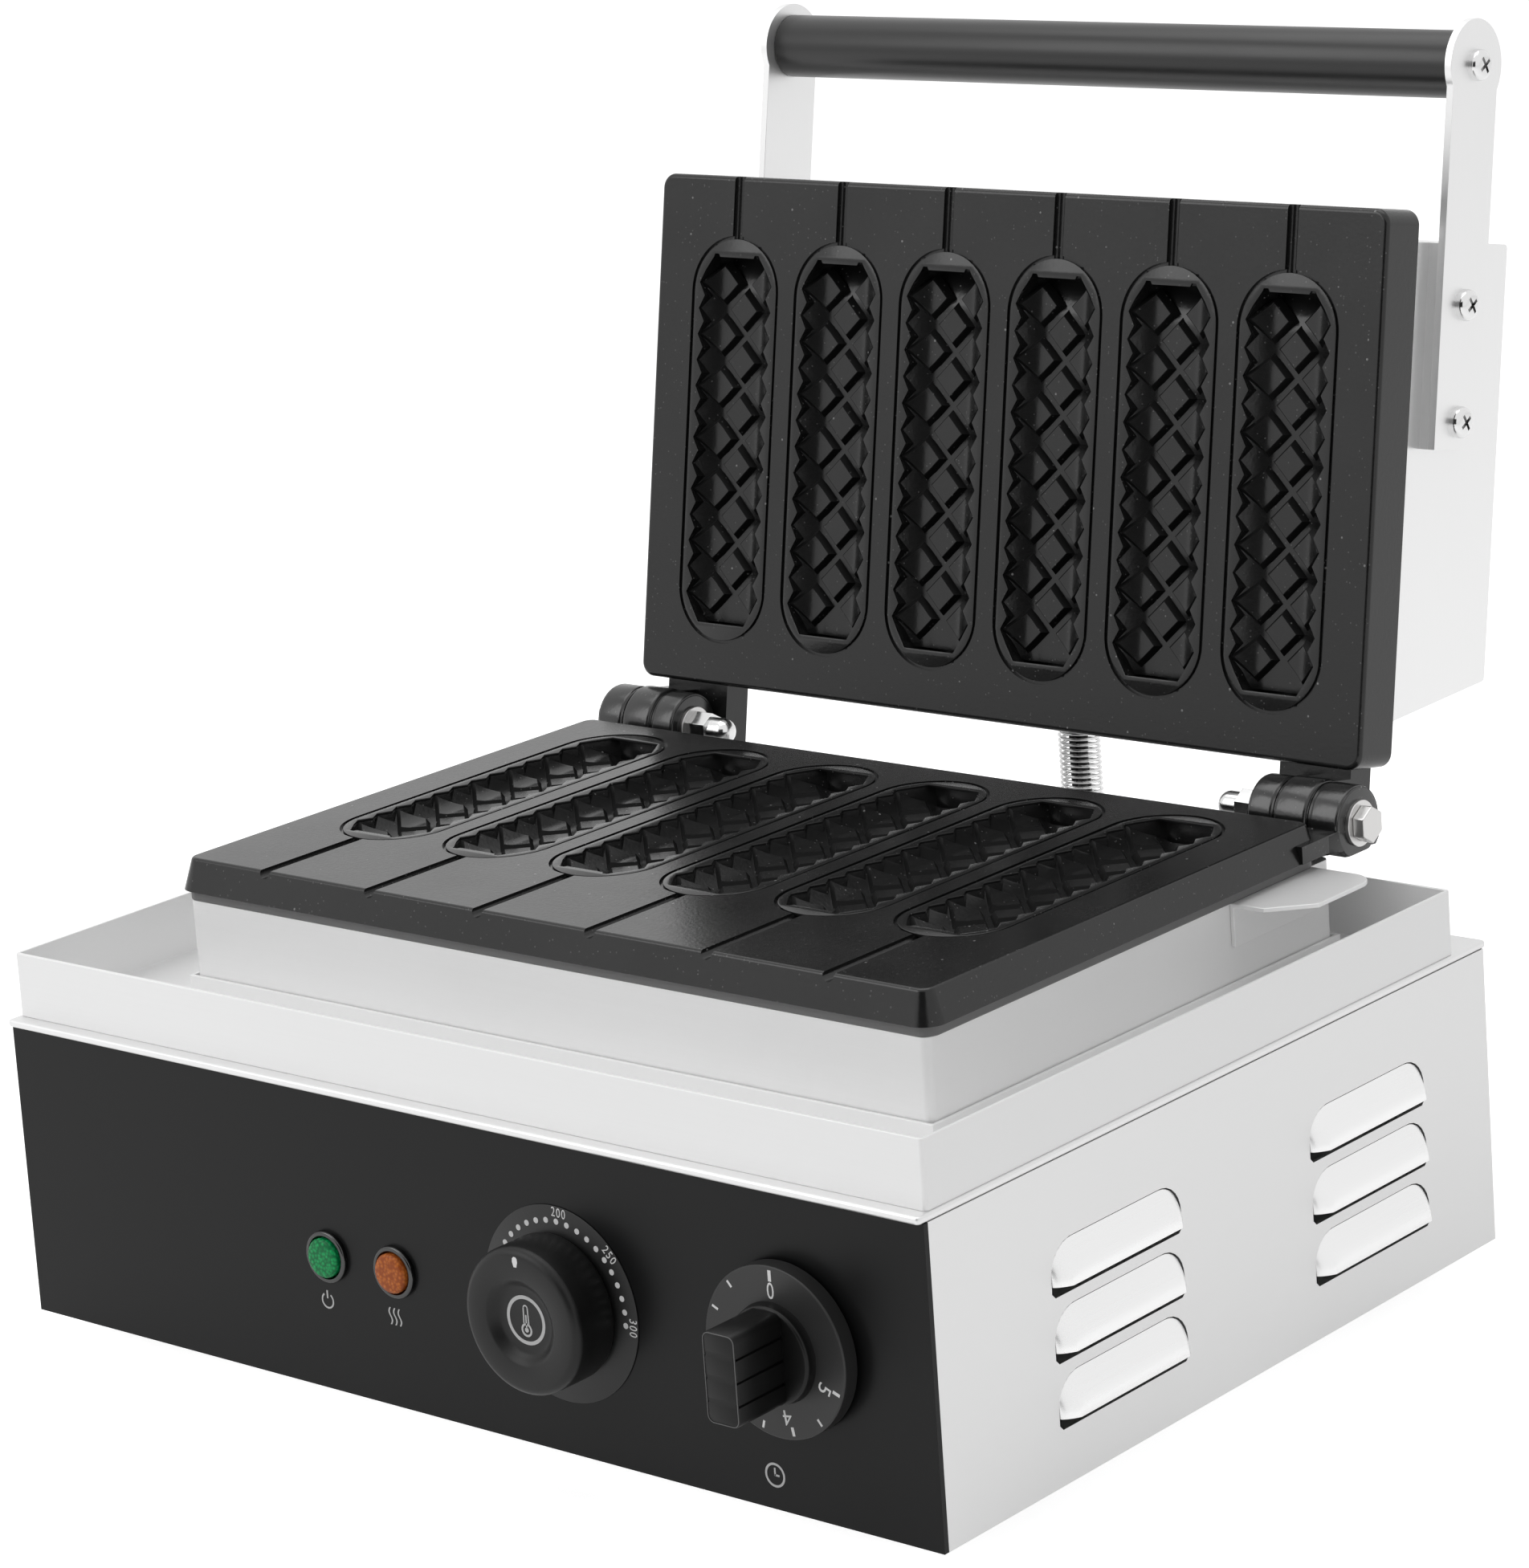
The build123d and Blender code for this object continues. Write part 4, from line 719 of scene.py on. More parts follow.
class Repeater:
    """Geometry Nodes trees that lay one shape out again and again."""

    def __init__(self) -> None:
        """Builds the three trees."""
        self.rows_tree = self._rows()
        self.dial_tree = self._dial()
        self.coil_tree = self._coil()

    def _tree(self, name: str, **inputs: str) -> tuple[bpy.types.NodeTree, Bench, bpy.types.bpy_prop_collection]:
        """Starts a tree that takes a shape, more inputs and a finish.

        Args:
            name: The tree's name.
            inputs: The kind of each further input, by its name.

        Returns:
            The tree, its bench and its inputs' sockets.
        """
        tree = bpy.data.node_groups.new(name, "GeometryNodeTree")
        bench = Bench(tree)
        for label, kind in {"Shape": "Geometry", **inputs, "Finish": "Material"}.items():
            tree.interface.new_socket(label, in_out="INPUT", socket_type="NodeSocket" + kind)
        tree.interface.new_socket("Result", in_out="OUTPUT", socket_type="NodeSocketGeometry")
        return tree, bench, bench.add("NodeGroupInput").outputs

    def _end(self, bench: Bench, shape: bpy.types.NodeSocket, finish: bpy.types.NodeSocket) -> None:
        """Ends a tree in real geometry with its finish.

        Args:
            bench: The tree's bench.
            shape: The socket that gives the shape.
            finish: The socket that gives the material.
        """
        real = bench.add("GeometryNodeRealizeInstances", None, {"Geometry": shape})
        dressed = bench.add("GeometryNodeSetMaterial", None, {"Geometry": real.outputs[0], "Material": finish})
        bench.add("NodeGroupOutput", None, {0: dressed.outputs[0]})

    def _rows(self) -> bpy.types.NodeTree:
        """Builds the tree that lays a shape out in rows and columns."""
        tree, bench, given = self._tree("rows", Across="Int", AcrossStep="Vector", Along="Int", AlongStep="Vector")
        shape = given["Shape"]
        for way in ("Across", "Along"):
            line = bench.add("GeometryNodeMeshLine", {"mode": "OFFSET"},
                             {"Count": given[way], "Offset": given[way + "Step"]})
            placed = bench.add("GeometryNodeInstanceOnPoints", None, {"Points": line.outputs[0], "Instance": shape})
            shape = bench.add("GeometryNodeRealizeInstances", None, {"Geometry": placed.outputs[0]}).outputs[0]
        self._end(bench, shape, given["Finish"])
        return tree

    def _dial(self) -> bpy.types.NodeTree:
        """Builds the tree that turns copies of a shape round the drawing's centre, clockwise."""
        tree, bench, given = self._tree("dial", Count="Int", First="Float", Step="Float")
        line = bench.add("GeometryNodeMeshLine", {"mode": "OFFSET"}, {"Count": given["Count"], "Offset": (0, 0, 0)})
        order = Flow(bench, bench.add("GeometryNodeInputIndex").outputs[0])
        turn = (Flow(bench, given["First"]) + order * Flow(bench, given["Step"])) * (-math.pi / 180)
        spin = bench.add("ShaderNodeCombineXYZ", None, {"Z": turn})
        placed = bench.add("GeometryNodeInstanceOnPoints", None, {
            "Points": line.outputs[0], "Instance": given["Shape"], "Rotation": spin.outputs[0]})
        self._end(bench, placed.outputs[0], given["Finish"])
        return tree

    def _coil(self) -> bpy.types.NodeTree:
        """Builds the tree that winds a round wire into a close spring."""
        tree, bench, given = self._tree("coil", Turns="Float", Radius="Float", Height="Float", Wire="Float")
        spiral = bench.add("GeometryNodeCurveSpiral", None, {
            "Resolution": 24, "Rotations": given["Turns"], "Start Radius": given["Radius"],
            "End Radius": given["Radius"], "Height": given["Height"]})
        wire = bench.add("GeometryNodeCurvePrimitiveCircle", None, {"Resolution": 8, "Radius": given["Wire"]})
        wound = bench.add("GeometryNodeCurveToMesh", None, {
            "Curve": spiral.outputs[0], "Profile Curve": wire.outputs[0], "Fill Caps": True})
        smooth = bench.add("GeometryNodeSetShadeSmooth", None, {"Geometry": wound.outputs[0]})
        self._end(bench, smooth.outputs[0], given["Finish"])
        return tree

    def run(self, tree: bpy.types.NodeTree, mesh: bpy.types.Mesh, **values: object) -> bpy.types.Mesh:
        """Runs a tree on a mesh.

        Args:
            tree: The tree.
            mesh: The shape that it takes, which is dropped.
            values: Its inputs by name.

        Returns:
            The result as a plain mesh.
        """
        keys = {item.name: item.identifier for item in tree.interface.items_tree if item.in_out == "INPUT"}

        def ready(holder: bpy.types.Object) -> None:
            """Adds the tree with its inputs set.

            Args:
                holder: The object that takes it.
            """
            modifier = holder.modifiers.new(tree.name, "NODES")
            modifier.node_group = tree
            for label, value in values.items():
                modifier[keys[label]] = value

        return evaluated(mesh.name, mesh, ready)

    def rows(self, mesh: bpy.types.Mesh, across: int, across_step: Point, along: int, along_step: Point,
             finish: bpy.types.Material) -> bpy.types.Mesh:
        """Lays a shape out in rows and columns.

        Args:
            mesh: The shape, which is dropped.
            across: How many stand in a row.
            across_step: The step from one to the next, in millimetres.
            along: How many rows there are.
            along_step: The step from row to row.
            finish: The material of all of them.

        Returns:
            All of them as one mesh.
        """
        steps = [tuple(part * MM for part in step) for step in (across_step, along_step)]
        return self.run(self.rows_tree, mesh, Across=across, AcrossStep=steps[0], Along=along, AlongStep=steps[1],
                        Finish=finish)

    def dial(self, mesh: bpy.types.Mesh, count: int, first: float, step: float,
             finish: bpy.types.Material) -> bpy.types.Mesh:
        """Turns copies of a shape clockwise round the drawing's centre, by degrees."""
        return self.run(self.dial_tree, mesh, Count=count, First=first, Step=step, Finish=finish)


def cut(mesh: bpy.types.Mesh, tool: bpy.types.Mesh) -> bpy.types.Mesh:
    """Takes one closed shape out of another.

    Args:
        mesh: What is cut, which is dropped.
        tool: What is taken out, which is dropped.

    Returns:
        What is left.
    """
    cutter = bpy.data.objects.new("cutter", tool)
    bpy.context.scene.collection.objects.link(cutter)

    def ready(holder: bpy.types.Object) -> None:
        """Adds the cut.

        Args:
            holder: The object that is cut.
        """
        modifier = holder.modifiers.new("cut", "BOOLEAN")
        modifier.operation = "DIFFERENCE"
        modifier.solver = "EXACT"
        modifier.object = cutter

    result = evaluated(mesh.name, mesh, ready)
    bpy.data.objects.remove(cutter)
    bpy.data.meshes.remove(tool)
    return shaded(result)


@dataclass
class Assembly:
    """What every sub-assembly shares: its finishes, the repeater and how a piece is handed over."""

    finishes: Finishes
    repeater: Repeater

    def item(self, name: str, mesh: bpy.types.Mesh, finish: bpy.types.Material) -> bpy.types.Object:
        """Makes an object of a mesh and reports it.

        Args:
            name: The object's name.
            mesh: Its mesh, in place.
            finish: Its material.

        Returns:
            The object.
        """
        mesh.materials.clear()
        mesh.materials.append(finish)
        item = bpy.data.objects.new(name, mesh)
        bpy.context.scene.collection.objects.link(item)
        log.info("%s: %d faces", name, len(mesh.polygons))
        return item

    def piece(self, name: str, mesh: bpy.types.Mesh, finish: bpy.types.Material, body: Body, slot: str,
              *stands_for: str) -> bpy.types.Object:
        """Puts a finished mesh on its body.

        Args:
            name: The piece's name.
            mesh: Its mesh, in place.
            finish: Its material.
            body: The body that it rides on.
            slot: The record's material slot of its finish; not used.
            stands_for: CAD nodes that it replaces.

        Returns:
            The piece.
        """
        item = self.item(name, mesh, finish)
        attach(item, body.value)
        if stands_for:
            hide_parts(*stands_for)
        return item

    def softened(self, node: str, finish: bpy.types.Material, slot: str, width: float) -> None:
        """Makes a CAD node again with its edges broken, in its place.

        Args:
            node: The CAD node.
            finish: Its material.
            slot: The record's material slot of its finish.
            width: How far the edges are broken, in millimetres.
        """
        shape = bmesh.new()
        shape.from_mesh(frame["nodes"][node].data)
        shape.transform(frame["nodes"][node].matrix_world)
        bmesh.ops.remove_doubles(shape, verts=shape.verts, dist=1e-6)
        bmesh.ops.dissolve_limit(shape, angle_limit=math.radians(0.5), verts=shape.verts, edges=shape.edges)
        item = self.piece(node + "_formed", meshed(shape, node + "_formed"), finish, body_of_node(node), slot, node)
        modifier = item.modifiers.new("broken_edges", "BEVEL")
        modifier.width = width * MM
        modifier.segments = 2
        modifier.limit_method = "ANGLE"
        modifier.angle_limit = math.radians(SMOOTH)
        modifier.harden_normals = True


@dataclass
class SheetMetal(Assembly):
    """Base: panels with pressed louvres, cover, drip tray, pedestal and rests. Sizes in millimetres."""

    side: float = 185.0
    sheet: float = 1.2
    front: float = -177.18
    back: float = 103.82
    low: float = 8.0
    high: float = 103.6
    louvre_half: float = 31.0
    louvre_high: float = 12.2
    louvre_bend: float = 10.0
    louvre_reach: float = 4.0
    louvre_sunk: float = 0.35
    louvre_sheet: float = 0.8
    louvre_end: float = 4.6
    end_power: float = 0.6
    brow: float = 0.08
    brow_power: float = 1.5
    louvre_runs: int = 34
    louvre_rises: int = 12
    louvre_first: Point = (185.0, -93.18, 28.0)
    slot_gap: float = 0.4
    slot_low: float = -3.5
    slot_wide: float = 1.012
    slot_corner: float = 1.5
    slot_runs: int = 24
    louvre_rows: int = 3
    louvre_step: float = 19.6
    louvre_groups: int = 2
    group_step: float = 129.0
    smooth_below: float = 28.0

    def build(self) -> None:
        """Makes every sheet-metal piece of the base."""
        soft, across = self.finishes.steel_soft, self.finishes.steel_across
        for node, width, finish in (("drip_tray", 0.45, soft), ("pedestal", 0.6, soft), ("side_tabs", 0.35, soft),
                                    ("top_cover", 0.3, across), ("rear_panel", 0.3, across)):
            self.softened(node, finish, "stainless", width)
        self.softened("front_panel", self.finishes.panel, "black_paint", 0.3)
        self.sides()

    def stations(self, runs: int) -> list[float]:
        """Returns places along a louvre, closer together towards its ends."""
        return [-self.louvre_half * math.cos(math.pi * step / runs) for step in range(runs + 1)]

    def louvre_top(self, along: float) -> float:
        """Returns how high a louvre reaches at a place along it."""
        over = max(0.0, abs(along) - (self.louvre_half - self.louvre_bend))
        return self.louvre_high - self.louvre_bend + math.sqrt(max(0.0, self.louvre_bend ** 2 - over ** 2))

    def louvre(self) -> bpy.types.Mesh:
        """Returns one pressed louvre, open below, at the first place."""
        shape = bmesh.new()
        rows = []
        for along in self.stations(self.louvre_runs):
            roll = min(1.0, (self.louvre_half - abs(along)) / self.louvre_end) ** self.end_power
            row = []
            for rise in range(self.louvre_rises + 1):
                share = rise / self.louvre_rises
                bulge = 1 - max(0.0, (share - self.brow) / (1 - self.brow)) ** self.brow_power
                reach = (self.louvre_reach + self.louvre_sunk) * bulge * roll - self.louvre_sunk
                row.append(shape.verts.new((reach * MM, along * MM, share * self.louvre_top(along) * MM)))
            rows.append(row)
        skin(shape, rows)
        bmesh.ops.solidify(shape, geom=shape.faces[:], thickness=self.louvre_sheet * MM)
        mesh = drawn(shape, "louvres", 60.0)
        mesh.transform(at(*self.louvre_first))
        return mesh

    def slot(self) -> list[tuple[float, float]]:
        """Returns the outline of the slot behind a louvre, along and up from the louvre's foot."""
        arch = [(along * self.slot_wide, self.louvre_top(along) + self.slot_gap)
                for along in self.stations(self.slot_runs)]
        end, low, corner = arch[-1][0], self.slot_low, self.slot_corner
        return [(corner - end, low), (-end, low + corner)] + arch + [(end, low + corner), (end - corner, low)]

    def sides(self) -> None:
        """Makes both side panels with their slots and louvres."""
        outlines = [[(self.front, self.low), (self.back, self.low), (self.back, self.high), (self.front, self.high)]]
        for group in range(self.louvre_groups):
            for row in range(self.louvre_rows):
                y = self.louvre_first[1] + group * self.group_step
                z = self.louvre_first[2] + row * self.louvre_step
                outlines.append([(y + along, z + up) for along, up in self.slot()])
        wall = plate_of("side_wall", outlines, self.sheet)
        wall.transform(at(self.side - self.sheet, 0, 0) @ axes((0, 1, 0), (0, 0, 1), (1, 0, 0)))
        hoods = self.repeater.rows(self.louvre(), self.louvre_groups, (0, self.group_step, 0), self.louvre_rows,
                                   (0, 0, self.louvre_step), self.finishes.steel_shaded_side)
        # Wall and louvres are one sheet in two levels: the wall in painted shade, the louvres in painted highlight.
        for kind, right, finish in (("wall", wall, self.finishes.steel_shaded_side),
                                    ("louvres", hoods, self.finishes.steel_highlit_louvres)):
            shaded(right, self.smooth_below)
            left = shaded(mirrored(right, both=False), self.smooth_below)
            for side, mesh in (("right", right), ("left", left)):
                self.piece(f"{side}_side_{kind}", mesh, finish, Body.BASE, "stainless", f"{side}_side_panel")


@dataclass
class Moulds(Assembly):
    """Waffle forms of both plates, in the plate's own drawing: x across, y from the hinge, z out of the face."""

    count: int = 6
    pitch: float = 46.0
    start: float = 14.5
    end: float = 156.0
    half: float = 19.5
    groove: float = 1.1
    band_sink: float = 0.12
    band_edge: float = 0.16
    band_thick: float = 0.98
    valley: float = 13.75
    peak: float = 16.25
    tooth: float = 9.0
    teeth: int = 13
    end_half: float = 8.75
    ear: float = 1.6
    toe: float = 1.1
    toe_run: float = 0.6
    stick_rim: float = 7.6
    hinge_rim: float = 6.7
    trough_deep: float = 7.6
    trough_flat: float = 6.6
    trough_half: float = 14.5
    trough_rise: float = 4.8
    trough_sheet: float = 0.6
    trough_tuck: float = 0.2
    trough_run: float = 2.3
    trough_parts: int = 7
    sink: float = 4.4
    sink_from: float = 138.0
    mid_along: float = 80.0
    post_pitch: float = 18.0
    post_base: float = 8.0
    post_top: float = 5.65
    post_rise: float = 2.4
    post_fall: float = 0.45
    post_lap: float = 0.2
    post_parts: int = 6
    post_smooth: float = 24.0
    flank_sunk: float = 0.4
    flank_under: float = 0.06
    flank_spread: float = 0.25
    side_place: float = 9.0
    base_edge: Point = (0.0, 67.82, 150.7)

    def build(self) -> None:
        """Makes the moulds of the lid plate and of the lower plate."""
        cast, recess = self.finishes.cast, self.finishes.recess
        up = axes((1, 0, 0), (0, math.sin(LEAN), math.cos(LEAN)), (0, -math.cos(LEAN), math.sin(LEAN)))
        flat = axes((-1, 0, 0), (0, -1, 0), (0, 0, 1))
        for name, edge, turned, body in (("lid", LID_EDGE, up, Body.LID), ("base", self.base_edge, flat, Body.BASE)):
            # The flanks take the darker coat, which is painted shade in the hollows between the diamonds.
            for part, mesh, finish in (("rims", self.rims(), cast), ("troughs", self.troughs(), cast),
                                       ("flanks", self.flanks(), recess), ("posts", self.posts(), cast)):
                mesh.transform(at(*edge) @ turned)
                self.piece(f"{name}_mould_{part}", mesh, finish, body, "cast_coating")

    def repeated(self, mesh: bpy.types.Mesh, along: int = 1, along_step: float = 0.0) -> bpy.types.Mesh:
        """Repeats a shape in every mould, and this often along each."""
        mesh.transform(at(-(self.count - 1) / 2 * self.pitch, 0, 0))
        return self.repeater.rows(mesh, self.count, (self.pitch, 0, 0), along, (0, along_step, 0), self.finishes.cast)

    def toothed_side(self) -> list[tuple[float, float]]:
        """Returns the pocket's right-hand edge from the hinge end to the stick end."""
        start, end, reach = self.start + self.hinge_rim, self.end - self.stick_rim, self.end_half + self.ear
        first = (self.start + self.end) / 2 - self.teeth * self.tooth / 2
        line = [(self.end_half, start), (reach, start), (self.valley, first)]
        for tooth in range(self.teeth):
            line.append((self.peak, first + (tooth + 0.5) * self.tooth))
            line.append((self.valley, first + (tooth + 1) * self.tooth))
        return line + [(reach, end), (self.end_half + self.ear * 0.7, end + self.toe),
                       (self.end_half - self.toe_run, end + self.toe), (self.end_half - 2 * self.toe_run, end)]

    def rims(self) -> bpy.types.Mesh:
        """Returns the flat bands round the pockets, which leave a fine groove outside them."""
        reach = self.half - self.groove
        outer = bend(0, self.end - self.half, reach, 180, 0, 24) + bend(
            0, self.start + self.half, reach, -7.5, -172.5, 22)
        side = self.toothed_side()
        inner = [(-x, y) for x, y in reversed(side)] + side
        band = plate_of("rims", [outer, inner], self.band_thick, self.band_edge)
        band.transform(at(0, 0, -self.band_sink - self.band_thick))
        return self.repeated(band)

    def outside_flat(self, across: float) -> float:
        """Returns how far a place across lies beyond the floor's flat middle, as a share of the rest."""
        return max(0.0, abs(across) - self.trough_flat) / (self.trough_half - self.trough_flat)

    def floor_at(self, across: float, along: float) -> float:
        """Returns the height of the trough's floor: flat in the middle, steep at the sides, sunk at the stick end."""
        sunk = min(1.0, max(0.0, along - self.sink_from) / (self.end - self.stick_rim - self.sink_from))
        return self.trough_rise * self.outside_flat(across) ** 1.5 * (1 - sunk) - self.sink * sunk - self.trough_deep

    def troughs(self) -> bpy.types.Mesh:
        """Returns the rounded floors of the pockets."""
        shape = bmesh.new()
        side = self.toothed_side()[1:-3]
        stations = []
        for (x0, y0), (x1, y1) in zip(side, side[1:]):
            runs = max(1, round((y1 - y0) / self.trough_run))
            stations += [(x0 + (x1 - x0) * run / runs, y0 + (y1 - y0) * run / runs) for run in range(runs)]
        rows = []
        for half, along in stations + side[-1:]:
            places = [(half + self.trough_tuck) * step / self.trough_parts
                      for step in range(-self.trough_parts, self.trough_parts + 1)]
            rows.append([shape.verts.new((x * MM, along * MM, self.floor_at(x, along) * MM)) for x in places])
        skin(shape, rows, turned_over=True)
        bmesh.ops.solidify(shape, geom=shape.faces[:], thickness=self.trough_sheet * MM)
        return self.repeated(drawn(shape, "troughs", 50.0))

    def diamond(self, across: float, along: float, low: float, high: float, foot: float, head: float
                ) -> bpy.types.Mesh:
        """Returns one diamond that follows the trough's floor.

        Args:
            across: Its middle across the mould, in millimetres.
            along: Its middle along the mould.
            low: Height of its foot over the floor.
            high: Height of its head, added to the diamonds' own rise.
            foot: Half its diagonal at the foot.
            head: Half its diagonal at the head.

        Returns:
            A closed mesh.
        """
        shape = bmesh.new()
        shares = [2 * step / self.post_parts - 1 for step in range(self.post_parts + 1)]
        edges = []
        for reach, at_head in ((foot, False), (head, True)):
            grid = []
            for u in shares:
                line = []
                for v in shares:
                    x = across + (u - v) / 2 * reach
                    rise = self.post_rise * (1 - self.post_fall * min(1.0, self.outside_flat(x))) + high
                    z = self.floor_at(x, self.mid_along) + (rise if at_head else low)
                    line.append(shape.verts.new((x * MM, (along + (u + v) / 2 * reach) * MM, z * MM)))
                grid.append(line)
            skin(shape, grid)
            edges.append(grid[0] + [line[-1] for line in grid[1:]] + grid[-1][-2::-1]
                         + [line[0] for line in grid[-2:0:-1]] + grid[0][:1])
        for below, above in zip(zip(edges[0], edges[0][1:]), zip(edges[1], edges[1][1:])):
            shape.faces.new((*below, *reversed(above)))
        return drawn(shape, "posts", self.post_smooth)

    def lattice(self, low: float, high: float, foot: float, head: float) -> bpy.types.Mesh:
        """Returns every diamond: a row down the middle and a row at each side between them.

        Args:
            low: Height of each foot over the floor.
            high: Height of each head, added to the diamonds' own rise.
            foot: Half a diamond's diagonal at the foot.
            head: Half its diagonal at the head.

        Returns:
            The diamonds of all moulds.
        """
        number = self.teeth // 2
        first = (self.start + self.end) / 2 - (number - 1) / 2 * self.post_pitch
        beside = first - self.post_pitch / 2
        rows = [self.repeated(self.diamond(across, along, low, high, foot, head), often, self.post_pitch)
                for across, along, often in ((0, first, number), (-self.side_place, beside, number + 1),
                                             (self.side_place, beside, number + 1))]
        return joined("posts", rows, self.post_smooth)

    def flanks(self) -> bpy.types.Mesh:
        """Returns the diamonds' flanks, which spread towards the floor; their darker coat is painted shade."""
        return self.lattice(-self.flank_sunk, -self.flank_under, self.post_base, self.post_top + self.flank_spread)

    def posts(self) -> bpy.types.Mesh:
        """Returns the diamonds' tops, in the plain coat above their painted-shade flanks."""
        return self.lattice(self.post_rise / 2, 0.0, self.post_top + self.post_lap, self.post_top)


@dataclass
class Hinges(Assembly):
    """Rounded knuckles and their fasteners. Sizes in millimetres."""

    axis_y: float = 82.82
    axis_z: float = 146.0
    bore: float = 3.05
    edge: float = 1.2
    proud: float = 0.1
    lugs: tuple = ((144.1, 154.5, 11.85, Body.BASE), (131.0, 142.7, 12.4, Body.LID), (120.7, 129.7, 11.85, Body.BASE))
    lug_low: float = 9.6
    block: tuple = ((16.7, -6.4), (16.7, 0.0), (-11.6, 0.0), (-11.6, -7.4), (-9.6, -9.4))
    block_proud: float = 0.08
    block_edge: float = 0.6

    def build(self) -> None:
        """Makes the knuckles, bolts, washers and nuts."""
        for number, (inner, outer, radius, body) in enumerate(self.lugs):
            knuckle = lathe("knuckle", tube(self.bore, radius, outer - inner + 2 * self.proud, self.edge), 72)
            knuckle.transform(outward(inner - self.proud, self.axis_y, self.axis_z))
            if body is Body.BASE:
                for vertex in knuckle.vertices:
                    vertex.co.z = max(vertex.co.z, (self.axis_z - self.lug_low) * MM)
            self.piece(f"knuckles_{number}", mirrored(knuckle), self.finishes.knuckle, body, "cast_coating")
        inner, outer = self.lugs[0][:2]
        block = plate_of("block", [self.block], outer - inner + self.block_proud, self.block_edge)
        block.transform(at(inner, self.axis_y, self.axis_z) @ axes((0, -1, 0), (0, 0, 1), (1, 0, 0)))
        self.piece("hinge_blocks", mirrored(block), self.finishes.cast, Body.BASE, "cast_coating")
        self.softened("hinge_bolts", self.finishes.zinc, "bright_steel", 0.5)
        self.softened("hinge_nuts", self.finishes.bright, "bright_steel", 0.45)
        self.softened("hinge_washers", self.finishes.zinc, "bright_steel", 0.25)


@dataclass
class Lid(Assembly):
    """Shell, bars, grip and screws. Sizes in millimetres, in the lid's drawing: along from the hinge, depth back."""

    bar_face: float = 143.9
    depth: float = 57.0
    grip_at: float = 223.6
    grip_half: float = 141.3
    grip_radius: float = 11.0
    grip_bore: float = 5.05
    grip_edge: float = 0.8
    head_radius: float = 5.2
    head_high: float = 3.4
    head_crown: float = 2.2
    cross_arm: float = 2.9
    cross_wide: float = 1.15
    cross_deep: float = 1.9
    cross_turn: float = 0.5
    screw_first: float = 108.9
    screw_step: float = 37.7

    def build(self) -> None:
        """Makes the lid's visible pieces."""
        upright = self.finishes.steel_upright
        self.softened("lid_housing", upright, "stainless", 0.5)
        for side in ("right", "left"):
            self.softened(f"{side}_handle_bar", upright, "stainless", 0.35)
            self.softened(f"{side}_bar_spacer", upright, "stainless", 0.2)
        sleeve = lathe("grip", tube(self.grip_bore, self.grip_radius, 2 * self.grip_half, self.grip_edge))
        sleeve.transform(self.place(-self.grip_half, self.grip_at))
        self.piece("grip_sleeve", sleeve, self.finishes.grip, Body.LID, "grip_black", "handle_grip")
        self.screws()

    def place(self, across: float, along: float) -> Matrix:
        """Returns the place of something that stands across the lid, on the handle bars' middle line."""
        return outward(across, LID_EDGE[1] + along * math.sin(LEAN) + self.depth * math.cos(LEAN),
                       LID_EDGE[2] + along * math.cos(LEAN) - self.depth * math.sin(LEAN))

    def pan_head(self) -> bpy.types.Mesh:
        """Returns a pan head with a cross recess, standing up from nought."""
        radius, high, crown = self.head_radius, self.head_high, self.head_crown
        head = lathe("pan_head", [(0, -0.2), (radius, -0.2), (radius, 1.0)] + bend(
            radius - crown, 1.15, crown, 5, 82, 7) + [(1.6, high), (0, high)], 36)
        half = self.cross_wide / 2
        quarter = [(self.cross_arm, -half), (self.cross_arm, half), (half, half)]
        cross = []
        for _ in range(4):
            cross += quarter
            quarter = [(-y, x) for x, y in quarter]
        tool = plate_of("recess", [cross], 3.0)
        tool.transform(at(0, 0, high - self.cross_deep) @ Matrix.Rotation(self.cross_turn, 4, "Z"))
        return cut(head, tool)

    def screws(self) -> None:
        """Makes the screws of both bars and of the grip."""
        bright = self.finishes.bright
        head = self.pan_head()
        top = head.copy()
        head.transform(self.place(self.bar_face, self.screw_first))
        step = (0, self.screw_step * math.sin(LEAN), self.screw_step * math.cos(LEAN))
        pair = self.repeater.rows(head, 1, (0, 0, 0), 2, step, bright)
        self.piece("bar_pan_heads", mirrored(pair), bright, Body.LID, "bright_steel", "bar_screws")
        top.transform(self.place(self.bar_face, self.grip_at))
        self.piece("grip_pan_heads", mirrored(top), bright, Body.LID, "bright_steel", "grip_screws")


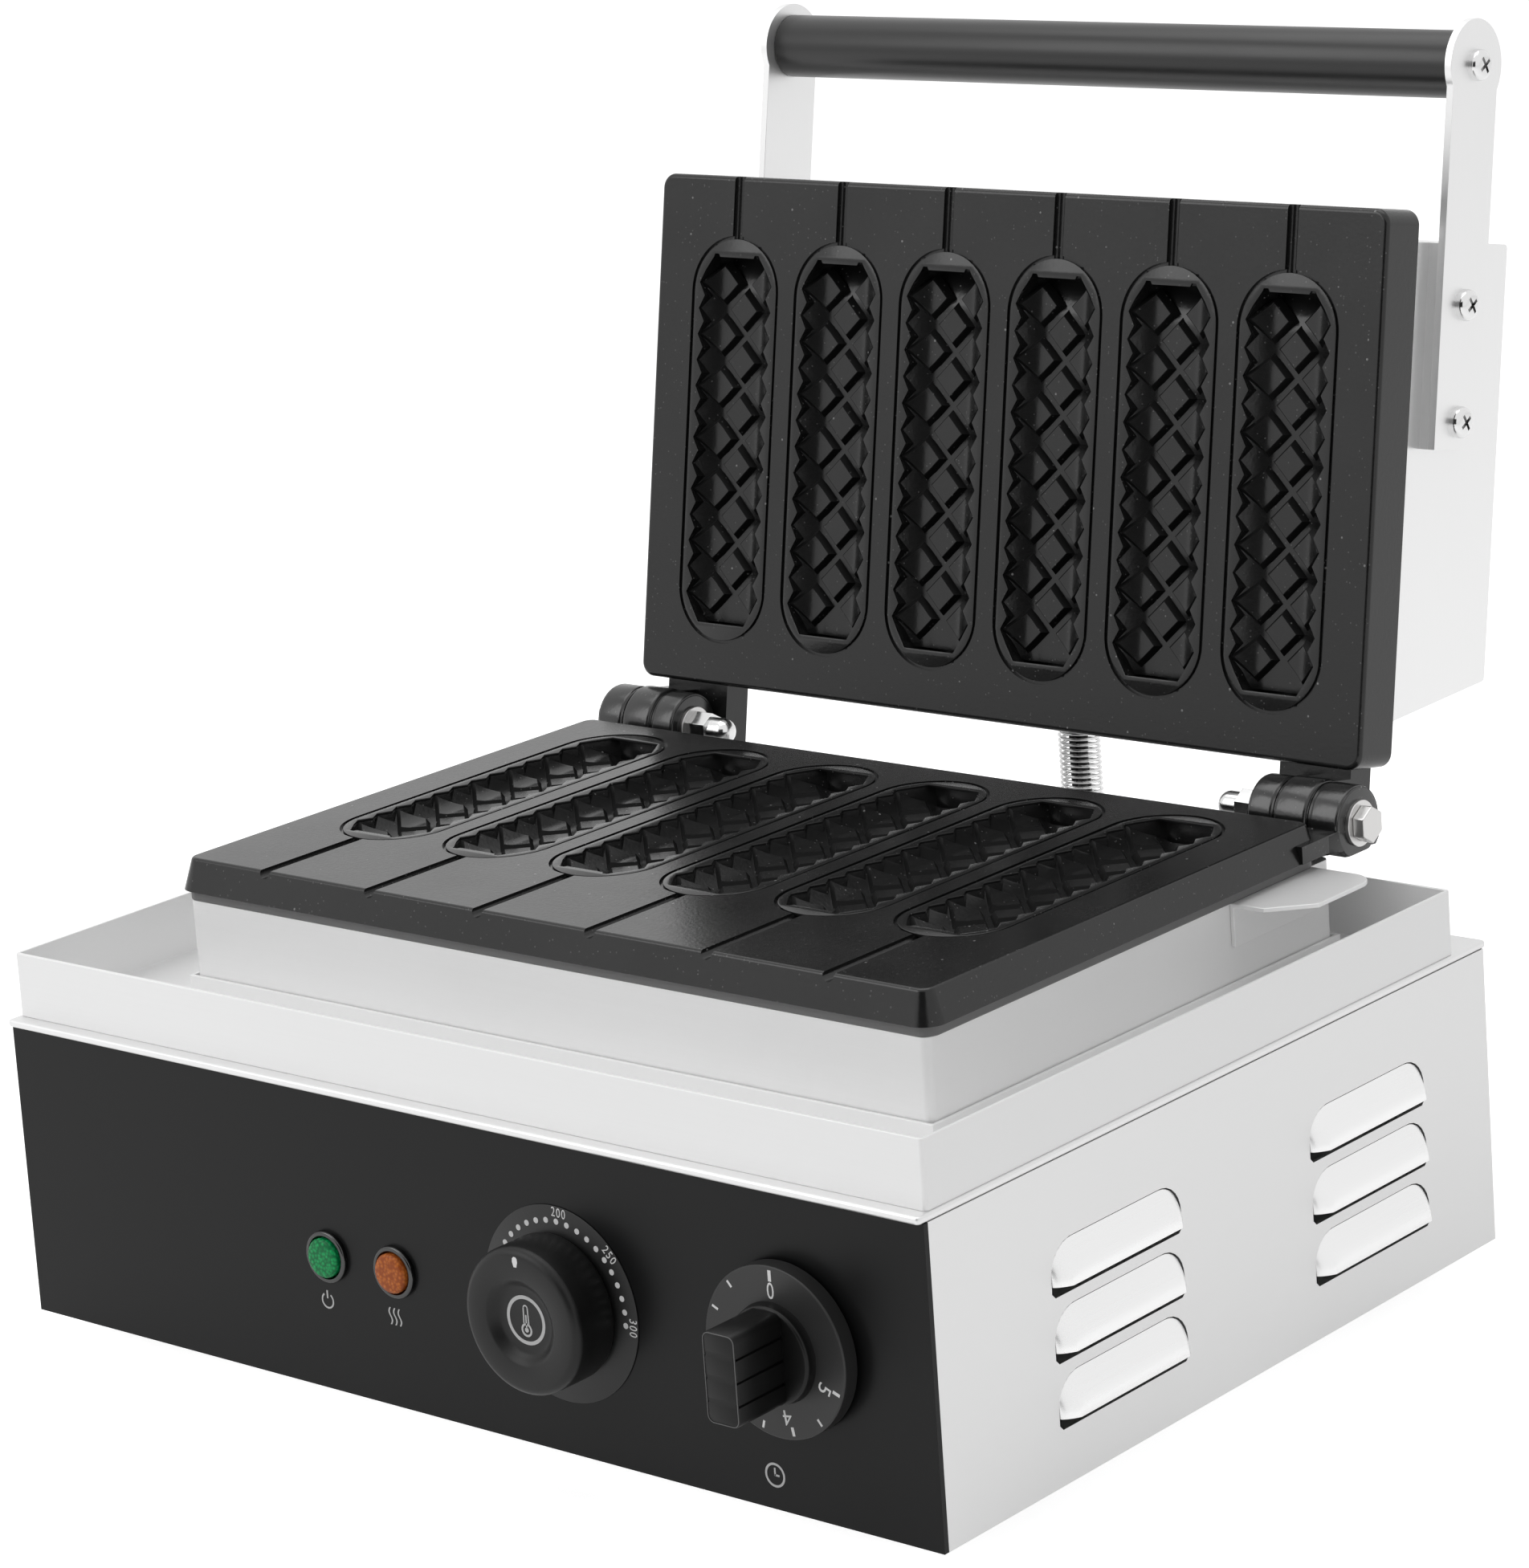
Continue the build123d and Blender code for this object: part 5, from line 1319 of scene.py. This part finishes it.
@dataclass
class Conduit(Assembly):
    """Spring conduit from the base up to the lid, with the wires inside. Sizes in millimetres."""

    x: float = 16.0
    y: float = 123.82
    low: float = 98.6
    high: float = 162.4
    radius: float = 6.7
    wire: float = 0.55
    turns: float = 34.5
    lead: float = 1.6
    lead_ring: float = 2.0
    lead_count: int = 3
    lead_steps: int = 12
    lead_twist: float = 0.4
    lead_short: float = 0.3

    def build(self) -> None:
        """Makes the spring and the wires between base and lid."""
        bright = self.finishes.bright
        spring = self.repeater.run(self.repeater.coil_tree, bpy.data.meshes.new("spring"), Turns=self.turns,
                                   Radius=self.radius * MM, Height=(self.high - self.low) * MM,
                                   Wire=self.wire * MM, Finish=bright)
        spring.transform(at(self.x, self.y, self.low))
        self.bent("conduit_spring", spring, bright, "bright_steel", "spring_conduit")
        leads = joined("leads", [self.lead_run(number) for number in range(self.lead_count)], 60.0)
        self.bent("conduit_leads", leads, self.finishes.cable, "wire_cover", "lid_wires")

    def bent(self, name: str, mesh: bpy.types.Mesh, finish: bpy.types.Material, slot: str, node: str) -> None:
        """Makes an object of a mesh that lies between base and lid, on neither body.

        Args:
            name: The piece's name.
            mesh: Its mesh, in place.
            finish: Its material.
            slot: The record's material slot of its finish; not used.
            node: The CAD node that it replaces.
        """
        item = self.item(name, mesh, finish)
        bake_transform(item)
        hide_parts(node)

    def lead_run(self, number: int) -> bpy.types.Mesh:
        """Makes one covered wire that winds gently up the conduit.

        Args:
            number: Which of the wires it is, from nought.

        Returns:
            Its mesh, in place.
        """
        curve = bpy.data.curves.new("lead", "CURVE")
        curve.dimensions = "3D"
        curve.bevel_depth = self.lead * MM
        curve.bevel_resolution = 3
        curve.use_fill_caps = True
        spline = curve.splines.new("NURBS")
        spline.points.add(self.lead_steps)
        box_low, box_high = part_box("lid_wires")
        low, high = box_low[2] + self.lead_short * MM, box_high[2] - self.lead_short * MM
        for step, point in enumerate(spline.points):
            share = step / self.lead_steps
            angle = 2 * math.pi * (number / self.lead_count + self.lead_twist * share)
            point.co = ((self.x + self.lead_ring * math.cos(angle)) * MM,
                        (self.y + self.lead_ring * math.sin(angle)) * MM, low + (high - low) * share, 1)
        spline.order_u = 3
        spline.use_endpoint_u = True
        spline.resolution_u = 4
        return evaluated("lead", curve)


@dataclass
class Controls(Assembly):
    """Dials, lamps and their print. Sizes in millimetres, angles clockwise in degrees."""

    face: float = -179.18
    ink: float = 0.08
    heat_at: tuple[float, float] = (47.0, 54.5)
    heat_back: float = -180.88
    heat_high: float = 16.3
    heat_dish: float = 2.85
    ring_thick: float = 0.5
    dot_ring: float = 25.4
    dot_first: float = -136.0
    dot_step: float = 9.2
    dot_count: int = 26
    heat_figures: tuple = (("50", 0, 0.0), ("100", 5, 0.0), ("200", 15, 2.0), ("250", 20, 0.0), ("300", 25, 0.0))
    bulb_low: float = -3.0
    arch_high: float = 3.7
    timer_at: tuple[float, float] = (134.0, 59.0)
    timer_back: float = -180.38
    skirt_high: float = 5.5
    scale_sink: float = 0.04
    tick_end: float = 24.2
    minute_marks: tuple = ((110, "5"), (140, ""), (168, "4"), (195, ""), (221, "3"), (246, ""), (270, "2"),
                           (294, ""), (319, ""))
    wing_half: tuple[float, float] = (5.9, 13.5)
    wing_corner: float = 2.4
    wing_foot: float = 5.4
    wing_thick: float = 23.28
    wing_edge: float = 0.55
    # The rim drawn here is a painted highlight on the wing's front edge.
    rim_foot: float = 28.5
    rim_thick: float = 0.3
    flute_deep: float = 0.7
    flute_wide: float = 1.0
    flute_step: float = 6.8
    lamps: tuple = ((-49.0, 51.3, "power_lamp_lens"), (-20.5, 51.7, "heat_lamp_lens"))

    def build(self) -> None:
        """Makes both dials, both lamps and the signs under them."""
        self.heat_ring()
        self.heat_knob()
        self.timer_dial()
        self.lamp_pair()
        self.signs()

    def mark(self, outlines: Sequence[Line], place: Matrix = HERE) -> bpy.types.Mesh:
        """Makes one printed mark.

        Args:
            outlines: Its outer line and then its holes.
            place: Where it stands in the drawing.

        Returns:
            Its mesh.
        """
        mesh = plate_of("mark", outlines, self.ink)
        mesh.transform(place)
        return mesh

    def figures(self, words: str, height: float, radius: float, angle: float, wide: float = 0.8) -> bpy.types.Mesh:
        """Returns figures whose tops point away from the drawing's centre.

        Args:
            words: The figures.
            height: Their height.
            radius: How far their middle lies from the centre.
            angle: Where they stand.
            wide: How wide they are, as a share of the plain width.

        Returns:
            A closed mesh.
        """
        mesh = lettering(words, height, self.ink, wide)
        mesh.transform(clockwise(angle) @ at(0, radius, 0))
        return mesh

    def printed(self, name: str, marks: Sequence[bpy.types.Mesh], place: Matrix, finish: bpy.types.Material,
                body: Body) -> None:
        """Lays printed marks on a face as one piece.

        Args:
            name: The piece's name.
            marks: The marks in their drawing.
            place: Where the drawing lies.
            finish: Its ink.
            body: The body that it rides on.
        """
        mesh = joined(name, marks)
        mesh.transform(place)
        self.piece(name, mesh, finish, body, "dial_print")

    def heat_ring(self) -> None:
        """Makes the thermostat's fixed ring and its print."""
        x, z = self.heat_at
        thick = self.ring_thick
        ring = lathe("ring", [(9.0, 0.0), (29.8, 0.0), (30.0, 0.15), (30.0, 0.35), (29.75, thick), (9.0, thick)])
        ring.transform(facing(x, self.face, z))
        self.piece("thermostat_ring", ring, self.finishes.dial, Body.BASE, "dial_print", "dial_ring")
        dot = self.mark([circle(0.92, 14)], at(0, self.dot_ring, 0))
        marks = [self.repeater.dial(dot, self.dot_count, self.dot_first, self.dot_step, self.finishes.ink)]
        marks += [self.figures(words, 2.9, 28.1, self.dot_first + dots * self.dot_step + shift)
                  for words, dots, shift in self.heat_figures]
        self.printed("thermostat_scale", marks, facing(x, self.face - thick, z), self.finishes.ink, Body.BASE)

    def heat_knob(self) -> None:
        """Makes the thermostat's dished knob, its sign and its pointer."""
        x, z = self.heat_at
        high = self.heat_high
        knob = lathe("knob", [(0, 0), (21.6, 0), (22.1, 0.4), (22.4, 1.2), (22.4, high - 2.6)] + bend(
            19.6, high - 2.8, 2.8, 8, 84, 7) + [
            (18.2, high), (13.6, high - 0.02), (12.9, high - 0.3), (11.6, high - 1.5), (10.6, high - 2.35),
            (9.9, high - 2.7), (8.8, high - self.heat_dish), (0, high - self.heat_dish)])
        knob.transform(facing(x, self.heat_back, z))
        self.piece("thermostat_knob_turned", knob, self.finishes.knob, Body.THERMOSTAT, "black_plastic",
                   "thermostat_knob")
        bulb = at(0, self.bulb_low, 0)
        arch = bend(0, self.arch_high, 0.98, 0, 180, 12) + bend(0, self.arch_high, 0.55, 180, 0, 12)
        sign = [self.mark([circle(7.5, 56), circle(6.4, 56)]), self.mark([circle(2.1, 28), circle(1.45, 28)], bulb),
                self.mark([circle(0.75, 16)], bulb), self.mark([bar(-0.8, 3.8, -0.95, -1.3, 0.45)]),
                self.mark([bar(0.8, 3.8, 0.95, -1.3, 0.45)]), self.mark([bar(0, 1.6, 0, -2.4, 0.5)]), self.mark([arch])]
        self.printed("thermostat_sign", sign, facing(x, self.heat_back - high + self.heat_dish, z),
                     self.finishes.soft_ink, Body.THERMOSTAT)
        pointer = self.mark([[(-0.55, 17.0), (0.55, 17.0), (1.0, 18.6), (0.9, 19.6), (0.4, 20.1), (-0.4, 20.1),
                              (-0.9, 19.6), (-1.0, 18.6)]])
        self.printed("thermostat_pointer", [pointer], facing(x, self.heat_back - high + 0.02, z), self.finishes.ink,
                     Body.THERMOSTAT)

    def wing(self) -> bpy.types.Mesh:
        """Returns the timer's grip: a rounded bar with three flutes down each side."""
        half_x, half_z = self.wing_half
        corner, deep, wide = self.wing_corner, self.flute_deep, self.flute_wide
        right = bend(half_x - corner, half_z - corner, corner, 90, 0)
        for flute in (self.flute_step, 0.0, -self.flute_step):
            right += [(half_x, flute + wide / 2), (half_x - deep, flute + wide / 4),
                      (half_x - deep, flute - wide / 4), (half_x, flute - wide / 2)]
        right += bend(half_x - corner, corner - half_z, corner, 0, -90)
        wing = plate_of("wing", [right + [(-x, -z) for x, z in right]], self.wing_thick, self.wing_edge)
        wing.transform(at(0, 0, self.wing_foot))
        return wing

    def timer_dial(self) -> None:
        """Makes the timer's skirt, boss and wing, a light rim painted as the highlight on the wing's front edge, and
        its print.
        """
        finishes = self.finishes
        x, z = self.timer_at
        top, tick_end = self.skirt_high, self.tick_end
        skirt = lathe("skirt", [(0, 0), (25.1, 0), (25.4, 0.35), (25.4, 5.0)] + bend(24.95, 5.15, 0.45, 0, 100, 4) + [
            (24.3, top), (0, top)])
        boss = lathe("boss", [(0, top), (14.9, top), (14.6, 6.4), (14.5, 7.6)] + bend(13.5, 7.8, 1.0, 0, 90, 4) + [
            (0, 8.8)])
        # The rim is a painted highlight: a thin light line where the wing's front edge catches the light.
        rim = plate_of("rim", [rounded(11.3, 26.5, 2.2), rounded(10.85, 26.05, 1.95)], self.rim_thick)
        rim.transform(at(0, 0, self.rim_foot))
        for name, mesh, finish, nodes in (("timer_skirt", skirt, finishes.knob_face, ("timer_knob",)),
                                          ("timer_grip", joined("timer_grip", [boss, self.wing()]), finishes.wing,
                                           ("timer_knob",)),
                                          ("timer_grip_highlight_rim", rim, finishes.edge_highlight, ())):
            mesh.transform(facing(x, self.timer_back, z))
            self.piece(name, mesh, finish, Body.TIMER, "black_plastic", *nodes)
        marks = [self.mark([bar(0, 20.9, 0, tick_end, 1.15)]), self.figures("0", 4.9, 17.9, 0)]
        for angle, words in self.minute_marks:
            start, wide = (21.6, 1.0) if words else (21.9, 0.75)
            marks.append(self.mark([bar(0, start, 0, tick_end, wide)], clockwise(angle)))
            if words:
                marks.append(self.figures(words, 4.5, 18.6, angle + 3, 1.08))
        self.printed("timer_scale", marks, facing(x, self.timer_back - top + self.scale_sink, z), finishes.ink,
                     Body.TIMER)

    def lamp_pair(self) -> None:
        """Makes the prismatic lenses and their rings."""
        rings = []
        for x, z, node in self.lamps:
            lens = lathe("lens", [(0, 0), (6.15, 0), (6.15, 1.5)] + bend(4.9, 2.0, 1.35, 10, 80, 6) + [
                (3.4, 3.4), (0, 3.4)], 48)
            ring = lathe("ring", [(6.2, 0.0), (8.2, 0.0), (8.2, 0.7)] + bend(7.5, 1.05, 0.7, 0, 90, 4) + [
                (6.9, 1.75), (6.4, 1.1), (6.2, 0.6)], 56)
            for mesh in (lens, ring):
                mesh.transform(facing(x, self.face, z))
            finish, slot = ((self.finishes.green, "green_lens") if node == "power_lamp_lens"
                            else (self.finishes.amber, "amber_lens"))
            self.piece(node + "_prism", lens, finish, Body.BASE, slot, node)
            rings.append(ring)
        # The rings' very dark steel is a painted reflection of the dark room.
        self.piece("lamp_rings", joined("rings", rings), self.finishes.bezel, Body.BASE, "bright_steel",
                   "lamp_bezels")

    def signs(self) -> None:
        """Prints plain signs under the lamps and the timer: mains on, heat and clock."""
        power = [[bend(0, 0, 2.6, 125, 415, 22) + bend(0, 0, 2.05, 415, 125, 22)], [bar(0, 0.7, 0, 3.3, 0.6)]]
        waves = []
        for shift in (-1.9, 0.0, 1.9):
            left = [(shift + 0.55 * math.sin(k / 12 * 2 * math.pi) - 0.27, -2.7 + 5.4 * k / 12) for k in range(13)]
            waves.append([left + [(a + 0.55, b) for a, b in reversed(left)]])
        clock = [[circle(3.2, 40), circle(2.6, 40)], [bar(0, -0.2, 0, 1.9, 0.5)], [bar(-0.15, 0, 1.4, 0, 0.5)]]
        signs = ((-51.0, 36.7, power, 1.0), (-22.4, 37.0, waves, 1.0), (125.0, 18.4, clock, 1.15))
        marks = [self.mark(outlines, at(x, y, 0) @ Matrix.Diagonal((size, size, 1, 1)))
                 for x, y, sign, size in signs for outlines in sign]
        self.printed("panel_signs", marks, facing(0, self.face, 0), self.finishes.soft_ink, Body.BASE)


def dress(node: str, material: bpy.types.Material) -> None:
    """Gives a CAD node a finish.

    Args:
        node: The CAD node.
        material: Its finish.
    """
    item = frame["nodes"][node]
    for slot in item.material_slots:
        slot.material = material
    if not item.material_slots:
        item.data.materials.append(material)


def aimed(place: Point, height: float, axis: str) -> Matrix:
    """Returns a place in metres, with an axis turned towards this height over the origin."""
    aim = Vector((0.0, 0.0, height)) - Vector(place)
    return Matrix.Translation(place) @ aim.to_track_quat(axis, "Y").to_matrix().to_4x4()


@dataclass(frozen=True)
class Studio:
    """White sweep, soft lamps and the camera."""

    eye: Point = (1.01290, -1.17966, 0.57494)
    turn: float = 40.78843
    tip: float = 10.93062
    roll: float = -3.97624
    focal_px: float = 6265.8426
    centre_px: tuple[float, float] = (958.048, 541.411)
    photo_px: tuple[int, int] = (1904, 1953)
    sensor: float = 36.0
    floor_side: float = 28.0
    floor_level: float = 0.86
    floor_glow: float = 0.45
    floor_shown: float = 0.2
    sky_light: float = 0.5
    sky_shown: float = 0.5
    room_at: Point = (1.2, -2.7, 1.0)
    room_wide: float = 2.6
    room_high: float = 2.2
    room_level: float = 0.03
    aim_height: float = 0.15

    def build(self) -> None:
        """Sets up everything round the cooker."""
        self.view()
        self.sweep()
        self.sky()
        self.lamp("front_lamp", (-1.4, -2.2, 1.9), 1.8, 21.0)
        self.lamp("top_lamp", (-0.3, 0.2, 2.4), 2.0, 18.0)
        self.backdrop()
        bpy.context.scene.view_settings.view_transform = "Standard"

    def view(self) -> None:
        """Places the camera where the photograph was taken."""
        turn, tip, roll = (math.radians(angle) for angle in (self.turn, self.tip, self.roll))
        back = Vector((math.sin(turn) * math.cos(tip), -math.cos(turn) * math.cos(tip), math.sin(tip)))
        level = Vector((math.cos(turn), math.sin(turn), 0.0))
        upright = back.cross(level)
        right = level * math.cos(roll) + upright * math.sin(roll)
        up = upright * math.cos(roll) - level * math.sin(roll)
        data = bpy.data.cameras.new("view")
        wide, high = self.photo_px
        longest = max(wide, high)
        data.sensor_fit = "AUTO"
        data.sensor_width = self.sensor
        data.lens = self.focal_px / longest * self.sensor
        data.shift_x = (wide / 2 - self.centre_px[0]) / longest
        data.shift_y = (self.centre_px[1] - high / 2) / longest
        data.clip_start = 0.05
        data.clip_end = 60.0
        camera = bpy.data.objects.new("view", data)
        camera.matrix_world = Matrix.Translation(self.eye) @ axes(right, up, back)
        bpy.context.scene.collection.objects.link(camera)
        bpy.context.scene.camera = camera

    def sheet(self, name: str, wide: float, high: float, level: float
              ) -> tuple[bpy.types.Object, Bench, bpy.types.Node]:
        """Makes a flat matt rectangle, centred and facing up.

        Args:
            name: Its name.
            wide: Its width in metres.
            high: Its other side.
            level: How bright its grey is.

        Returns:
            The rectangle, its material's bench and its matt shader.
        """
        mesh = bpy.data.meshes.new(name)
        mesh.from_pydata([(x * wide / 2, y * high / 2, 0) for x, y in ((-1, -1), (1, -1), (1, 1), (-1, 1))], [],
                         [(0, 1, 2, 3)])
        material, bench = blank(name)
        mesh.materials.append(material)
        item = bpy.data.objects.new(name, mesh)
        bpy.context.scene.collection.objects.link(item)
        return item, bench, bench.add("ShaderNodeBsdfDiffuse", None, {"Color": grey(level)})

    def sweep(self) -> None:
        """Lays the pale floor, which shows white and still takes a shadow."""
        floor, bench, matt = self.sheet("floor", self.floor_side, self.floor_side, self.floor_level)
        seen, camera = bench.seen()
        strength = seen * self.floor_glow + camera * self.floor_shown
        glow = bench.add("ShaderNodeEmission", None, {"Color": grey(1.0), "Strength": strength})
        both = bench.add("ShaderNodeAddShader", None, {0: matt.outputs[0], 1: glow.outputs[0]})
        bench.add("ShaderNodeOutputMaterial", None, {"Surface": both.outputs[0]})

    def sky(self) -> None:
        """Adds the white sky, twice as bright where it is seen as where it lights."""
        world = bpy.data.worlds.new("white_room")
        bpy.context.scene.world = world
        world.use_nodes = True
        bench = Bench(world.node_tree)
        strength = bench.seen()[0] * self.sky_shown + self.sky_light
        sky = bench.add("ShaderNodeBackground", None, {"Color": grey(1.0), "Strength": strength})
        bench.add("ShaderNodeOutputWorld", None, {"Surface": sky.outputs[0]})

    def backdrop(self) -> None:
        """Stands the dark room behind the camera, which only shows where something shiny faces it."""
        room, bench, matt = self.sheet("dark_room", self.room_wide, self.room_high, self.room_level)
        bench.add("ShaderNodeOutputMaterial", None, {"Surface": matt.outputs[0]})
        room.matrix_world = aimed(self.room_at, self.room_at[2], "Z")
        room.visible_camera = room.visible_diffuse = room.visible_shadow = room.visible_transmission = False

    def lamp(self, name: str, place: Point, side: float, power: float) -> None:
        """Hangs one square soft lamp that points at the cooker.

        Args:
            name: Its name.
            place: Where it hangs, in metres.
            side: The length of its side.
            power: Its power in watts.
        """
        data = bpy.data.lights.new(name, "AREA")
        data.shape = "SQUARE"
        data.size = side
        data.energy = power
        holder = bpy.data.objects.new(name, data)
        holder.matrix_world = aimed(place, self.aim_height, "-Z")
        bpy.context.scene.collection.objects.link(holder)


def main() -> None:
    """Builds the whole scene in order."""
    finishes = Finishes()
    repeater = Repeater()
    plain = {
        finishes.steel_across: ("bottom_plate",),
        finishes.cast: ("lower_plate", "upper_plate"),
        finishes.rubber: ("feet",),
        finishes.seal: ("plate_gasket",),
        finishes.zinc: (
            "foot_screws", "lower_heater_clamp", "lower_clamp_bolts", "upper_heater_clamp", "upper_clamp_bolts",
            "timer_body", "conduit_elbow", "conduit_ferrule", "handle_rod", "thermostat_shaft", "timer_shaft",
        ),
        finishes.bright: ("heat_shield", "timer_bell"),
        finishes.oxidised: ("lower_heater", "upper_heater"),
        finishes.wool: ("lower_insulation", "lid_insulation"),
        finishes.ceramic: ("thermostat_body", "terminal_block"),
        finishes.copper: ("thermostat_bulb",),
        finishes.plastic: ("lamp_holders", "cord_gland", "gland_nut"),
    }
    for material, nodes in plain.items():
        for node in nodes:
            dress(node, material)
    for assembly in (SheetMetal, Moulds, Hinges, Lid, Conduit, Controls):
        assembly(finishes, repeater).build()
    Studio().build()
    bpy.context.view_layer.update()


if __name__ == "__main__":
    logging.basicConfig(level=logging.INFO)
    main()
